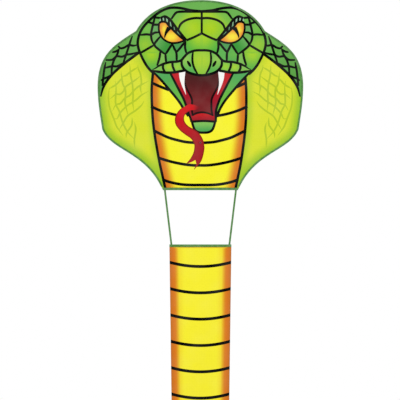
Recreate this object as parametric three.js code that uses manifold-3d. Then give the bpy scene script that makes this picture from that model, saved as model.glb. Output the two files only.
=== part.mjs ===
import * as THREE from 'three';
import { mergeVertices } from 'three/addons/utils/BufferGeometryUtils.js';
import Module from 'manifold-3d';

// A single-line kite shaped like a snake with a spread hood: a framed, printed cloth head, an open
// vent crossed by two straps, and a long cloth tail whose end is folded up and tied for storage.
//
// Millimetres. +X is to the right as the printed face is seen, +Z is up, and the printed face
// looks along -Y. The origin is the centre of the upper bridle eyelet, in the cloth's mid-plane.

// ---------------------------------------------------------------- driving dimensions

// Head
const HOOD_WIDTH = 617; // across the hood at its widest
const HEAD_HEIGHT = 570.6; // crown to the lower edge of the bottom hem
const EYELET_BELOW_CROWN = 102; // crown to the upper eyelet
const LOWER_EYELET_DROP = 326; // upper eyelet to lower eyelet

// Cloth, tapes and hems
const CLOTH_THICKNESS = 0.8;
const TAPE_WALL = 0.6; // one side of a folded tape
const BINDING_WIDTH = 5.5; // what the folded edge tape covers on each face
const HEM_HEIGHT = 7.5;
const HEM_WALL = 0.55;
const CLEARANCE = 0.3; // between pieces that fit together
const HINGE_GAP = 1.2; // between cloth pieces that flex against each other

// Rods and what holds them
const SPINE_RADIUS = 2;
const SPAR_RADIUS = 1.5;
const BATTEN_RADIUS = 1;
const CAP_WALL = 0.7;
const CAP_LENGTH = 16;
const CAP_FLOOR = 1.5; // solid end of a cap
const POCKET_WALL = 0.6;
const POCKET_LENGTH = 38;
const POCKET_FLANGE = 5; // sewn margin beside the pocket's tunnel
const SLEEVE_LENGTH = 34;
const UPPER_SPAR_DROP = 151.5; // upper eyelet to the upper spar
const LOWER_SPAR_DROP = 271; // upper eyelet to the lower spar
const MIDDLE_SLEEVE_DROPS = [75, 211]; // upper eyelet to the middles of the two middle spine sleeves
const TOP_SLEEVE_OFFSET = 1; // the top sleeve, below the middle of its place
const FOOT_SLEEVE_GAP = 9.6; // foot pocket to the sleeve above it
const JOINER_WALL = 1.5;
const JOINER_ARM = 17; // centre to the end of each socket
const JOINER_BLOCK = 9; // half the side of the square block where the sockets cross

// Bridle eyelets
const EYELET_BORE = 1.6; // radius
const EYELET_WALL = 0.5;
const EYELET_FLANGE = 3.6; // radius
const EYELET_FLANGE_THICKNESS = 0.7;
const PATCH_RADIUS = 13;
const PATCH_THICKNESS = 0.4;

// Vent and its straps
const VENT_HEIGHT = 162.6; // head hem to tail header
const STRAP_WIDTH = 5.7;
const STRAP_THICKNESS = 1.2;
const STRAP_TOP_INSET = 6.7; // hem end to the strap's middle, at the head
const STRAP_FOOT_INSET = 5.8; // hem end to the strap's middle, at the tail

// Tail
const TAIL_LENGTH = 5000;
const TAIL_TOP_WIDTH = 186;
const TAIL_END_WIDTH = 50;
const HANGING_LENGTH = 481; // header's upper edge to where the folds begin
const TAIL_SECTIONS = 4;
const FOLD_HEIGHT = 160;
const FOLD_PITCH = 0.57; // thickness that each folded layer takes up
const BAND_HEIGHT = 20;
const BAND_THICKNESS = 1.2;

// Roundness
const OUTLINE_STEPS = [10, 9, 5, 10];
const ROUND_STEPS = 12;
const ARCH_STEPS = 5; // half of the steps round a tunnel's arch
const SPAR_STEPS = 16;
const BAND_CORNER_STEPS = 5;

// ---------------------------------------------------------------- levels and depths

const CROWN_Z = EYELET_BELOW_CROWN;
const HEAD_FOOT_Z = CROWN_Z - HEAD_HEIGHT;
const HEM_TOP_Z = HEAD_FOOT_Z + HEM_HEIGHT;
const HEADER_TOP_Z = HEAD_FOOT_Z - VENT_HEIGHT;
const HEADER_FOOT_Z = HEADER_TOP_Z - HEM_HEIGHT;
const FOLD_TOP_Z = HEADER_TOP_Z - HANGING_LENGTH;

const CLOTH_BACK = CLOTH_THICKNESS / 2;
const SEWN_ON_BACK = CLOTH_BACK + CLEARANCE; // front face of what is sewn to the cloth's back
const SPINE_CAP_RADIUS = SPINE_RADIUS + CLEARANCE + CAP_WALL;
const SPAR_CAP_RADIUS = SPAR_RADIUS + CLEARANCE + CAP_WALL;
const SPINE_DEPTH = SEWN_ON_BACK + POCKET_WALL + CLEARANCE + SPINE_CAP_RADIUS;
const SPAR_TIP_DEPTH = SEWN_ON_BACK + POCKET_WALL + CLEARANCE + SPAR_CAP_RADIUS;
const SPINE_SOCKET = SPINE_RADIUS + CLEARANCE;
const SPAR_SOCKET = SPAR_RADIUS + CLEARANCE;
const SPAR_DEPTH = SPINE_DEPTH + SPINE_SOCKET + JOINER_WALL + SPAR_SOCKET;

const HEM_BORE = BATTEN_RADIUS + CLEARANCE;
const HEM_DEPTH = 2 * (HEM_BORE + HEM_WALL);
const HEM_BORE_HEIGHT = HEM_WALL + HEM_BORE; // hem's outer edge to the batten's axis
const HEM_SLOT_DEPTH = HEM_HEIGHT - HEM_BORE_HEIGHT - HEM_BORE - HEM_WALL;

// ---------------------------------------------------------------- materials

const finish = (color, roughness) => new THREE.MeshStandardMaterial({ color, roughness, metalness: 0 });
const PRINTED_CLOTH = finish(0xb9cf3c, 0.75);
const TAIL_CLOTH = finish(0xf2e63c, 0.75);
const GREEN_TAPE = finish(0x5f8f4f, 0.85);
const ROD = finish(0x26292b, 0.4);
const VINYL = finish(0x17181a, 0.5);
const DARK_WEBBING = finish(0x1d2a1a, 0.85);
const EYELET_FINISH = finish(0x101010, 0.35);
const ELASTIC = finish(0x1c1c1f, 0.9);

// ---------------------------------------------------------------- solids

const wasm = await Module();
wasm.setup();

function toSolid(geometry) {
  const bare = geometry.clone();
  bare.deleteAttribute('normal');
  bare.deleteAttribute('uv');
  const merged = mergeVertices(bare, 1e-4);
  const vertProperties = Float32Array.from(merged.attributes.position.array);
  const triVerts = Uint32Array.from(merged.index.array);
  return new wasm.Manifold(new wasm.Mesh({ numProp: 3, vertProperties, triVerts }));
}

function toGeometry(solid) {
  const mesh = solid.getMesh();
  const geometry = new THREE.BufferGeometry();
  geometry.setAttribute('position', new THREE.BufferAttribute(mesh.vertProperties, 3));
  geometry.setIndex(new THREE.BufferAttribute(mesh.triVerts, 1));
  geometry.computeVertexNormals();
  return geometry;
}

function meshOf(name, geometry, material) {
  const mesh = new THREE.Mesh(geometry, material);
  mesh.name = name;
  return mesh;
}

// A flat piece drawn in the plane of the kite, x across and y up, between two depths.
function sheetOf(shape, front, back) {
  const options = { depth: back - front, bevelEnabled: false };
  return new THREE.ExtrudeGeometry(shape, options).rotateX(Math.PI / 2).translate(0, back, 0);
}

// A bar along X whose section is drawn with x as depth and y as height.
function barOf(section, length) {
  const options = { depth: length, bevelEnabled: false };
  const bar = new THREE.ExtrudeGeometry(section, options).translate(0, 0, -length / 2);
  return bar.rotateX(Math.PI / 2).rotateZ(Math.PI / 2);
}

function polygon(points) {
  return new THREE.Shape(points.map(([x, y]) => new THREE.Vector2(x, y)));
}

function circlePoints(x, y, radius) {
  return Array.from({ length: ROUND_STEPS }, (_, i) => {
    const angle = (2 * Math.PI * i) / ROUND_STEPS;
    return new THREE.Vector2(x + radius * Math.cos(angle), y + radius * Math.sin(angle));
  });
}

const disc = (radius) => new THREE.Shape(circlePoints(0, 0, radius));
const roundHole = (x, y, radius) => new THREE.Path(circlePoints(x, y, radius));

// ---------------------------------------------------------------- the head's outline

// Each curve is a cubic whose points are shares of half the hood's width and of the head's height.
const OUTLINE_CURVES = [
  [[0, 0], [0.204, 0], [0.487, 0.0275], [0.627, 0.163]], // crown to the notch above the hood
  [[0.627, 0.163], [0.852, 0.2386], [0.99, 0.2875], [1, 0.4447]], // shoulder
  [[1, 0.4447], [1, 0.543], [0.975, 0.6054], [0.955, 0.679]], // side
  [[0.955, 0.679], [0.869, 0.797], [0.528, 0.7953], [0.367, 1]], // underside, to the hem's end
];

function outlinePoint([across, down]) {
  return new THREE.Vector2((across * HOOD_WIDTH) / 2, CROWN_Z - down * HEAD_HEIGHT);
}

function rightOutline() {
  const points = [outlinePoint(OUTLINE_CURVES[0][0])];
  OUTLINE_CURVES.forEach((curve, i) => {
    const cubic = new THREE.CubicBezierCurve(...curve.map(outlinePoint));
    points.push(...cubic.getPoints(OUTLINE_STEPS[i]).slice(1));
  });
  return points;
}

const OUTLINE = rightOutline();
const HEM_HALF_LENGTH = OUTLINE.at(-1).x;

// The right half of the outline moved inwards by a distance, from the middle line down to a level.
function insetOutline(distance, lowest) {
  const moved = OUTLINE.map((point, i) => {
    const before = OUTLINE[Math.max(i - 1, 0)];
    const after = OUTLINE[Math.min(i + 1, OUTLINE.length - 1)];
    const into = i === 0 ? new THREE.Vector2(1, 0) : point.clone().sub(before).normalize();
    const onwards = i === OUTLINE.length - 1 ? into : after.clone().sub(point).normalize();
    const direction = into.clone().add(i === 0 ? into : onwards).normalize();
    const inward = new THREE.Vector2(direction.y, -direction.x);
    const mitre = inward.dot(new THREE.Vector2(into.y, -into.x));
    return point.clone().addScaledVector(inward, distance / mitre);
  });
  const kept = moved.filter((point) => point.y > lowest);
  const next = moved[kept.length];
  if (next) {
    const last = kept.at(-1);
    const share = (last.y - lowest) / (last.y - next.y);
    kept.push(last.clone().lerp(next, share));
  } else {
    kept.push(new THREE.Vector2(kept.at(-1).x, lowest));
  }
  return kept;
}

function halfWidthAt(z) {
  const below = OUTLINE.findIndex((point) => point.y <= z);
  const a = OUTLINE[below - 1];
  const b = OUTLINE[below];
  return a.x + ((b.x - a.x) * (a.y - z)) / (a.y - b.y);
}

const mirrored = (points) => points.map((point) => new THREE.Vector2(-point.x, point.y));

// ---------------------------------------------------------------- head: cloth and edge tapes

const EYELET_HOLE = EYELET_BORE + EYELET_WALL + CLEARANCE;
const EYELETS = { upper: 0, lower: -LOWER_EYELET_DROP };

function headSail() {
  const lowest = HEM_TOP_Z - HEM_SLOT_DEPTH + CLEARANCE;
  const right = insetOutline(TAPE_WALL + CLEARANCE, lowest);
  const left = mirrored(right).reverse();
  const shape = new THREE.Shape([...right, ...left.slice(0, -1)]);
  for (const z of Object.values(EYELETS)) shape.holes.push(roundHole(0, z, EYELET_HOLE));
  return meshOf('head_sail', sheetOf(shape, -CLOTH_BACK, CLOTH_BACK), PRINTED_CLOTH);
}

// A tape folded over the cloth's edge, from the crown to the bottom hem.
function edgeBinding(side) {
  const strip = (outer, inner, start, lowest) => {
    const edge = insetOutline(outer, lowest);
    const cover = insetOutline(inner, lowest);
    edge[0].x = start;
    cover[0].x = start;
    const points = [...edge, ...cover.reverse()];
    return new THREE.Shape(side > 0 ? points : mirrored(points));
  };
  const end = HEM_TOP_Z + CLEARANCE;
  const slotHalf = CLOTH_BACK + CLEARANCE;
  const tapeHalf = slotHalf + TAPE_WALL;
  const overrun = 2;
  const tape = sheetOf(strip(0, BINDING_WIDTH, CLEARANCE / 2, end), -tapeHalf, tapeHalf);
  const slotShape = strip(TAPE_WALL, BINDING_WIDTH + overrun, -overrun, end - overrun);
  const slot = sheetOf(slotShape, -slotHalf, slotHalf);
  const name = side > 0 ? 'edge_binding_right' : 'edge_binding_left';
  return meshOf(name, toGeometry(toSolid(tape).subtract(toSolid(slot))), GREEN_TAPE);
}

// A folded hem with a slot for the cloth along one edge and a tunnel for a batten along the other.
function hemOf(name, halfLength) {
  const half = HEM_DEPTH / 2;
  const slot = CLOTH_BACK + CLEARANCE;
  const slotFloor = HEM_HEIGHT - HEM_SLOT_DEPTH;
  const section = polygon([
    [-half, 0], [half, 0], [half, HEM_HEIGHT], [slot, HEM_HEIGHT],
    [slot, slotFloor], [-slot, slotFloor], [-slot, HEM_HEIGHT], [-half, HEM_HEIGHT],
  ]);
  section.holes.push(roundHole(0, HEM_BORE_HEIGHT, HEM_BORE));
  return meshOf(name, barOf(section, 2 * halfLength), GREEN_TAPE);
}

function battenOf(name, halfLength) {
  const rod = new THREE.CylinderGeometry(BATTEN_RADIUS, BATTEN_RADIUS, 2 * halfLength, ROUND_STEPS);
  return meshOf(name, rod.rotateZ(Math.PI / 2), ROD);
}

// ---------------------------------------------------------------- head: rods and their fittings

// The outline of a cloth tunnel sewn flat to the sail: x across the rod, y away from the sail.
function tunnelSection(radius, floor, middle) {
  const shape = new THREE.Shape();
  shape.moveTo(-radius, floor);
  shape.lineTo(radius, floor);
  shape.lineTo(radius, middle);
  shape.absarc(0, middle, radius, 0, Math.PI, false);
  shape.lineTo(-radius, floor);
  return shape;
}

function extruded(shape, length) {
  const options = { depth: length, bevelEnabled: false, curveSegments: ARCH_STEPS };
  return new THREE.ExtrudeGeometry(shape, options);
}

// A tunnel along +Z from 0 to a length, closed at its far end when it is a pocket.
function tunnelGeometry(boreRadius, depth, length, closedEnd) {
  const middle = depth - SEWN_ON_BACK;
  const outer = boreRadius + POCKET_WALL;
  const flange = outer + POCKET_FLANGE;
  const arch = toSolid(extruded(tunnelSection(outer, 0, middle), length));
  const baseShape = polygon([[-flange, 0], [flange, 0], [flange, POCKET_WALL], [-flange, POCKET_WALL]]);
  const base = toSolid(extruded(baseShape, length));
  const overrun = 1;
  const boreLength = closedEnd ? length - POCKET_WALL + overrun : length + 2 * overrun;
  const bore = extruded(tunnelSection(boreRadius, POCKET_WALL, middle), boreLength);
  return toGeometry(arch.add(base).subtract(toSolid(bore.translate(0, 0, -overrun))));
}

// The cap that covers a rod's end, along +Z with its mouth at 0.
function capGeometry(rodRadius) {
  const bore = rodRadius + CLEARANCE;
  const outer = bore + CAP_WALL;
  const bevel = CAP_WALL - 0.1;
  const floor = CAP_LENGTH - CAP_FLOOR;
  const profile = [
    [0, floor], [bore, floor], [bore, 0], [outer, 0],
    [outer, CAP_LENGTH - bevel], [outer - bevel, CAP_LENGTH], [0, CAP_LENGTH],
  ];
  const points = profile.map(([r, y]) => new THREE.Vector2(r, y));
  return new THREE.LatheGeometry(points, ROUND_STEPS).rotateX(Math.PI / 2);
}

const POCKET_TO_ROD = POCKET_WALL + CLEARANCE + CAP_FLOOR + CLEARANCE; // pocket's end to rod's end
const POCKET_MARGIN = BINDING_WIDTH + 1.5; // outline to the end of a pocket

const SPINE_TOP_Z = CROWN_Z - POCKET_MARGIN; // ends of the two spine pockets
const SPINE_FOOT_Z = HEM_TOP_Z + 1.5;

// The middles of the spine sleeves: the top one between its pocket and the upper eyelet's patch.
const SLEEVE_LEVELS = [
  (SPINE_TOP_Z - POCKET_LENGTH + PATCH_RADIUS) / 2 - TOP_SLEEVE_OFFSET,
  ...MIDDLE_SLEEVE_DROPS.map((drop) => -drop),
  SPINE_FOOT_Z + POCKET_LENGTH + FOOT_SLEEVE_GAP + SLEEVE_LENGTH / 2,
];

function spine() {
  const top = SPINE_TOP_Z - POCKET_TO_ROD;
  const foot = SPINE_FOOT_Z + POCKET_TO_ROD;
  const rod = new THREE.CylinderGeometry(SPINE_RADIUS, SPINE_RADIUS, top - foot, ROUND_STEPS);
  rod.rotateX(Math.PI / 2);
  const mesh = meshOf('spine_rod', rod, ROD);
  mesh.position.set(0, SPINE_DEPTH, (top + foot) / 2);
  return mesh;
}

// A pocket and the cap in it, at one end of the spine; direction is +1 at the top, -1 at the foot.
function spineEnd(where, endZ, direction) {
  const pocket = tunnelGeometry(SPINE_CAP_RADIUS + CLEARANCE, SPINE_DEPTH, POCKET_LENGTH, true);
  const pocketMesh = meshOf(`spine_pocket_${where}`, pocket, DARK_WEBBING);
  const capMesh = meshOf(`spine_cap_${where}`, capGeometry(SPINE_RADIUS), VINYL);
  const turn = direction > 0 ? 0 : Math.PI;
  pocketMesh.rotation.y = turn;
  capMesh.rotation.y = turn;
  pocketMesh.position.set(0, SEWN_ON_BACK, endZ - direction * POCKET_LENGTH);
  const capMouth = POCKET_WALL + CLEARANCE + CAP_LENGTH;
  capMesh.position.set(0, SPINE_DEPTH, endZ - direction * capMouth);
  return [pocketMesh, capMesh];
}

function spineSleeve(level, i) {
  const sleeve = tunnelGeometry(SPINE_SOCKET, SPINE_DEPTH, SLEEVE_LENGTH, false);
  const mesh = meshOf(`spine_sleeve_${i + 1}`, sleeve, DARK_WEBBING);
  mesh.position.set(0, SEWN_ON_BACK, level - SLEEVE_LENGTH / 2);
  return mesh;
}

// A rod across the kite: held close to the cloth at its tips, bowed back over the spine.
class BowedLine extends THREE.Curve {
  constructor(halfLength) {
    super();
    this.halfLength = halfLength;
  }

  getPoint(t, target = new THREE.Vector3()) {
    const x = this.halfLength * (2 * t - 1);
    const share = (1 + Math.cos((Math.PI * x) / this.halfLength)) / 2;
    return target.set(x, SPAR_TIP_DEPTH + (SPAR_DEPTH - SPAR_TIP_DEPTH) * share, 0);
  }
}

// Where a spar's pockets end: inside the edge tape over the pocket's whole height.
function pocketEndAt(z) {
  const half = SPAR_CAP_RADIUS + CLEARANCE + POCKET_WALL + POCKET_FLANGE;
  return Math.min(halfWidthAt(z - half), halfWidthAt(z + half)) - POCKET_MARGIN;
}

function sparSet(where, drop) {
  const endX = pocketEndAt(-drop);
  const section = disc(SPAR_RADIUS);
  const extrudePath = new BowedLine(endX - POCKET_TO_ROD);
  const options = { steps: SPAR_STEPS, bevelEnabled: false, extrudePath };
  const set = new THREE.Group();
  set.position.z = -drop;
  set.add(meshOf(`${where}_spar`, new THREE.ExtrudeGeometry(section, options), ROD));
  for (const [sideName, side] of [['left', -1], ['right', 1]]) {
    const end = new THREE.Group();
    end.position.x = side * endX;
    end.rotation.y = side > 0 ? Math.PI / 2 : -Math.PI / 2;
    const pocket = tunnelGeometry(SPAR_CAP_RADIUS + CLEARANCE, SPAR_TIP_DEPTH, POCKET_LENGTH, true);
    const pocketMesh = meshOf(`${where}_spar_pocket_${sideName}`, pocket, DARK_WEBBING);
    pocketMesh.position.set(0, SEWN_ON_BACK, -POCKET_LENGTH);
    const capMesh = meshOf(`${where}_spar_cap_${sideName}`, capGeometry(SPAR_RADIUS), VINYL);
    capMesh.position.set(0, SPAR_TIP_DEPTH, -POCKET_WALL - CLEARANCE - CAP_LENGTH);
    end.add(pocketMesh, capMesh);
    set.add(end);
  }
  set.add(crossJoiner(where));
  return set;
}

// A moulded fitting with one socket through it for the spine and one behind that for the spar.
function crossJoiner(where) {
  const rodAt = (radius, halfLength, depth, along) => {
    const rod = new THREE.CylinderGeometry(radius, radius, 2 * halfLength, ROUND_STEPS);
    const turned = along === 'z' ? rod.rotateX(Math.PI / 2) : rod.rotateZ(Math.PI / 2);
    return toSolid(turned.translate(0, depth, 0));
  };
  const front = SPINE_DEPTH - SPINE_SOCKET - JOINER_WALL;
  const back = SPAR_DEPTH + SPAR_SOCKET + JOINER_WALL;
  const block = new THREE.BoxGeometry(2 * JOINER_BLOCK, back - front, 2 * JOINER_BLOCK);
  const body = toSolid(block.translate(0, (front + back) / 2, 0))
    .add(rodAt(SPINE_SOCKET + JOINER_WALL, JOINER_ARM, SPINE_DEPTH, 'z'))
    .add(rodAt(SPAR_SOCKET + JOINER_WALL, JOINER_ARM, SPAR_DEPTH, 'x'))
    .subtract(rodAt(SPINE_SOCKET, 2 * JOINER_ARM, SPINE_DEPTH, 'z'))
    .subtract(rodAt(SPAR_SOCKET, 2 * JOINER_ARM, SPAR_DEPTH, 'x'));
  return meshOf(`${where}_cross_joiner`, toGeometry(body), VINYL);
}

// ---------------------------------------------------------------- head: bridle eyelets

function bridleEyelet(where) {
  const barrel = EYELET_BORE + EYELET_WALL;
  const frontInner = -CLOTH_BACK - CLEARANCE;
  const backInner = SEWN_ON_BACK + PATCH_THICKNESS + CLEARANCE;
  const profile = [
    [EYELET_BORE, frontInner - EYELET_FLANGE_THICKNESS],
    [EYELET_FLANGE, frontInner - EYELET_FLANGE_THICKNESS],
    [EYELET_FLANGE, frontInner],
    [barrel, frontInner],
    [barrel, backInner],
    [EYELET_FLANGE, backInner],
    [EYELET_FLANGE, backInner + EYELET_FLANGE_THICKNESS],
    [EYELET_BORE, backInner + EYELET_FLANGE_THICKNESS],
    [EYELET_BORE, frontInner - EYELET_FLANGE_THICKNESS],
  ];
  const points = profile.map(([r, y]) => new THREE.Vector2(r, y));
  const ring = new THREE.LatheGeometry(points, ROUND_STEPS);
  const patchShape = disc(PATCH_RADIUS);
  patchShape.holes.push(roundHole(0, 0, EYELET_HOLE));
  const patch = sheetOf(patchShape, SEWN_ON_BACK, SEWN_ON_BACK + PATCH_THICKNESS);
  const group = new THREE.Group();
  group.position.z = EYELETS[where];
  group.add(meshOf(`${where}_bridle_eyelet`, ring, EYELET_FINISH));
  group.add(meshOf(`${where}_bridle_patch`, patch, DARK_WEBBING));
  return group;
}

// ---------------------------------------------------------------- vent straps

function ventStrap(side) {
  const topX = HEM_HALF_LENGTH - STRAP_TOP_INSET;
  const footX = TAIL_TOP_WIDTH / 2 - STRAP_FOOT_INSET;
  const topZ = HEAD_FOOT_Z - HINGE_GAP;
  const footZ = HEADER_TOP_Z + HINGE_GAP;
  const half = STRAP_WIDTH / 2;
  const corners = [[topX - half, topZ], [topX + half, topZ], [footX + half, footZ], [footX - half, footZ]];
  const shape = polygon(corners.map(([x, z]) => [side * x, z]));
  const name = side > 0 ? 'vent_strap_right' : 'vent_strap_left';
  return meshOf(name, sheetOf(shape, -STRAP_THICKNESS / 2, STRAP_THICKNESS / 2), GREEN_TAPE);
}

// ---------------------------------------------------------------- tail

function tailHalfWidthAt(z) {
  const share = (HEADER_TOP_Z - z) / TAIL_LENGTH;
  return (TAIL_TOP_WIDTH + (TAIL_END_WIDTH - TAIL_TOP_WIDTH) * share) / 2;
}

function tailSection(i) {
  const pitch = (HEADER_FOOT_Z - FOLD_TOP_Z) / TAIL_SECTIONS;
  const slotTop = HEADER_FOOT_Z + HEM_SLOT_DEPTH - CLEARANCE;
  const top = i === 0 ? slotTop : HEADER_FOOT_Z - i * pitch - HINGE_GAP / 2;
  const foot = HEADER_FOOT_Z - (i + 1) * pitch + HINGE_GAP / 2;
  const a = tailHalfWidthAt(top);
  const b = tailHalfWidthAt(foot);
  const shape = polygon([[-a, top], [a, top], [b, foot], [-b, foot]]);
  return meshOf(`tail_section_${i + 1}`, sheetOf(shape, -CLOTH_BACK, CLOTH_BACK), TAIL_CLOTH);
}

// The outer shape of the stored tail: layers folded down and up, each narrower than the last,
// so it is a tapered block. It is placed with its middle of weight under the hanging cloth.
const FOLD_LAYERS = Math.ceil((TAIL_LENGTH - HANGING_LENGTH) / FOLD_HEIGHT);
const FOLD_DEPTH = FOLD_LAYERS * FOLD_PITCH;
const FOLD_FRONT_HALF = tailHalfWidthAt(FOLD_TOP_Z);
const FOLD_BACK_HALF = TAIL_END_WIDTH / 2;
const FOLD_WEIGHT_SHARE =
  (FOLD_FRONT_HALF + 2 * FOLD_BACK_HALF) / (3 * (FOLD_FRONT_HALF + FOLD_BACK_HALF));
const FOLD_FRONT = -FOLD_DEPTH * FOLD_WEIGHT_SHARE;

const FOLD_SECTION = [
  [-FOLD_FRONT_HALF, FOLD_FRONT],
  [FOLD_FRONT_HALF, FOLD_FRONT],
  [FOLD_BACK_HALF, FOLD_FRONT + FOLD_DEPTH],
  [-FOLD_BACK_HALF, FOLD_FRONT + FOLD_DEPTH],
];

// The fold's section moved outwards by a margin, with each corner rounded.
function aroundFold(margin) {
  const corners = FOLD_SECTION.map(([x, y]) => new THREE.Vector2(x, y));
  const outline = [];
  corners.forEach((corner, i) => {
    const before = corner.clone().sub(corners.at(i - 1));
    const after = corners[(i + 1) % corners.length].clone().sub(corner);
    const from = before.angle() - Math.PI / 2;
    const turn = (after.angle() - before.angle() + 2 * Math.PI) % (2 * Math.PI);
    for (let step = 0; step <= BAND_CORNER_STEPS; step += 1) {
      const angle = from + (turn * step) / BAND_CORNER_STEPS;
      outline.push([corner.x + margin * Math.cos(angle), corner.y + margin * Math.sin(angle)]);
    }
  });
  return polygon(outline);
}

function foldedTail() {
  const mesh = meshOf('folded_tail', extruded(polygon(FOLD_SECTION), FOLD_HEIGHT), TAIL_CLOTH);
  mesh.position.z = FOLD_TOP_Z - HINGE_GAP / 2 - FOLD_HEIGHT;
  return mesh;
}

function tieBand() {
  const section = aroundFold(CLEARANCE + BAND_THICKNESS);
  section.holes.push(aroundFold(CLEARANCE));
  const mesh = meshOf('tail_tie_band', extruded(section, BAND_HEIGHT), ELASTIC);
  mesh.position.z = FOLD_TOP_Z - HINGE_GAP / 2 - (FOLD_HEIGHT + BAND_HEIGHT) / 2;
  return mesh;
}

// ---------------------------------------------------------------- assembly

const head = new THREE.Group();
head.add(headSail(), edgeBinding(-1), edgeBinding(1));
head.add(spine(), ...spineEnd('top', SPINE_TOP_Z, 1), ...spineEnd('foot', SPINE_FOOT_Z, -1));
head.add(...SLEEVE_LEVELS.map(spineSleeve));
head.add(sparSet('upper', UPPER_SPAR_DROP), sparSet('lower', LOWER_SPAR_DROP));
head.add(bridleEyelet('upper'), bridleEyelet('lower'));

const headHem = new THREE.Group();
headHem.position.z = HEAD_FOOT_Z;
const headBatten = battenOf('head_hem_batten', HEM_HALF_LENGTH - 2);
headBatten.position.z = HEM_BORE_HEIGHT;
headHem.add(hemOf('head_bottom_hem', HEM_HALF_LENGTH), headBatten);
head.add(headHem);

const vent = new THREE.Group();
vent.add(ventStrap(-1), ventStrap(1));

const tail = new THREE.Group();
const header = new THREE.Group();
header.position.z = HEADER_TOP_Z;
header.rotation.y = Math.PI;
const headerBatten = battenOf('tail_header_batten', TAIL_TOP_WIDTH / 2 - 2);
headerBatten.position.z = HEM_BORE_HEIGHT;
header.add(hemOf('tail_header_hem', TAIL_TOP_WIDTH / 2), headerBatten);
tail.add(header);
for (let i = 0; i < TAIL_SECTIONS; i += 1) tail.add(tailSection(i));
tail.add(foldedTail(), tieBand());

const group = new THREE.Group();
group.add(head, vent, tail);

export default group;
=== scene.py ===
"""The looks of a snake-shaped kite: printed cloth, tapes, rods and fittings around the CAD frame.

Lengths are millimetres until a mesh is made; Blender works in metres. +X is the viewer's right, +Z is
up, and the printed face looks along -Y. The origin is the centre of the upper bridle eyelet.
"""
import math

import bmesh
import bpy
import numpy as np
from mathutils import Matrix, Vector, geometry


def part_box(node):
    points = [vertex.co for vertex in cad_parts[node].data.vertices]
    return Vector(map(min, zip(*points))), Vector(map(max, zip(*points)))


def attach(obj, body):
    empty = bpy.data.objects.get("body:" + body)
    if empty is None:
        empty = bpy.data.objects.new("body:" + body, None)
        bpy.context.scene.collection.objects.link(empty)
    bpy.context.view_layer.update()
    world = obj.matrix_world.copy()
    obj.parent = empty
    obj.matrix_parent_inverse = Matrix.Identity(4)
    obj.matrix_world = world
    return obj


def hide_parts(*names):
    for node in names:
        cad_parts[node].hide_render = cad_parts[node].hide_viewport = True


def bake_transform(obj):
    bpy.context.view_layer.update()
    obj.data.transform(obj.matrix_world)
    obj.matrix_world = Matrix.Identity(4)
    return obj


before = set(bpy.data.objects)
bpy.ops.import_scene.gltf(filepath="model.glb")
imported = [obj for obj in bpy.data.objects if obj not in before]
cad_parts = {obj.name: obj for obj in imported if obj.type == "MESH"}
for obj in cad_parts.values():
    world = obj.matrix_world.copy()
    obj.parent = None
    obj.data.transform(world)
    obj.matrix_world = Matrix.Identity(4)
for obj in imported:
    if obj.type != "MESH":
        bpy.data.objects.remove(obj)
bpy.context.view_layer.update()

MM = 0.001
BOTH = (-1, 1)
MIDDLE = (1,)
SIDES = ((-1, "left"), (1, "right"))


def box_mm(node):
    """A CAD node's lowest and highest corners at rest, in millimetres."""
    low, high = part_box(node)
    return np.array(low) / MM, np.array(high) / MM


# ---------------- sizes, taken from the frame

_, TAPES_HIGH = box_mm("edge_binding_right")
HEM_LOW, HEM_HIGH = box_mm("head_bottom_hem")
HEADER_LOW, HEADER_HIGH = box_mm("tail_header_hem")
FOLD_LOW, FOLD_HIGH = box_mm("folded_tail")
BAND_LOW, BAND_HIGH = box_mm("tail_tie_band")

HALF_HOOD = TAPES_HIGH[0]
CROWN_Z = TAPES_HIGH[2]
HEAD_FOOT_Z = HEM_LOW[2]
HEM_TOP_Z = HEM_HIGH[2]
HEADER_TOP_Z = HEADER_HIGH[2]
HEADER_FOOT_Z = HEADER_LOW[2]
HEAD_HEIGHT = CROWN_Z - HEAD_FOOT_Z
HEM_HALF_LENGTH = HEM_HIGH[0]
UPPER_SPAR_Z = np.mean(box_mm("upper_cross_joiner"), axis=0)[2]
LOWER_SPAR_Z = np.mean(box_mm("lower_cross_joiner"), axis=0)[2]
LOWER_EYELET_Z = np.mean(box_mm("lower_bridle_eyelet"), axis=0)[2]
EYELET_LEVELS = (0.0, LOWER_EYELET_Z)
SPARS = (("upper", UPPER_SPAR_Z), ("lower", LOWER_SPAR_Z))

TAIL_LENGTH = 5000
TAIL_END_WIDTH = 50
TAIL_TOP_WIDTH = 2 * HEADER_HIGH[0]

HEAD_CLOTH = 0.3  # thickness, drawn a little thicker than real ripstop
TAIL_CLOTH = 0.26

# ---------------- colours, sRGB from 0 to 255

BLACK = (2, 3, 2)
RIM_GREEN = (82, 140, 66)
CROWN_GREEN = (108, 180, 82)
SHOULDER_GREEN = (92, 162, 70)
SHADE_GREEN = (58, 152, 58)
SCALE_GREEN = (98, 182, 74)
PALE_GREEN = (128, 190, 88)
LIME = (168, 211, 44)
LEAF = (112, 187, 66)
HOOD_BRIGHT = (222, 230, 54)
HOOD_EDGE = (146, 196, 46)
NET_OLIVE = (184, 206, 46)
BROW_PALE = (150, 196, 158)
BELLY_YELLOW = (253, 248, 52)
BELLY_ORANGE = (219, 120, 33)
TAIL_YELLOW = (254, 244, 52)
TAIL_ORANGE = (222, 122, 34)
TAIL_EDGE = (200, 116, 42)
MOUTH_TOP = (78, 32, 32)
MOUTH_FOOT = (122, 30, 36)
CRIMSON = (198, 26, 38)
TONGUE_TOP = (214, 22, 32)
TONGUE_TIP = (166, 26, 36)
TONGUE_EDGE = (146, 26, 16)
TONGUE_ROOT = (124, 30, 36)
FANG_WHITE = (253, 252, 249)
EYE_YELLOW = (255, 234, 62)
EYE_ORANGE = (236, 146, 58)

EXPOSURE = 0.87


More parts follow.
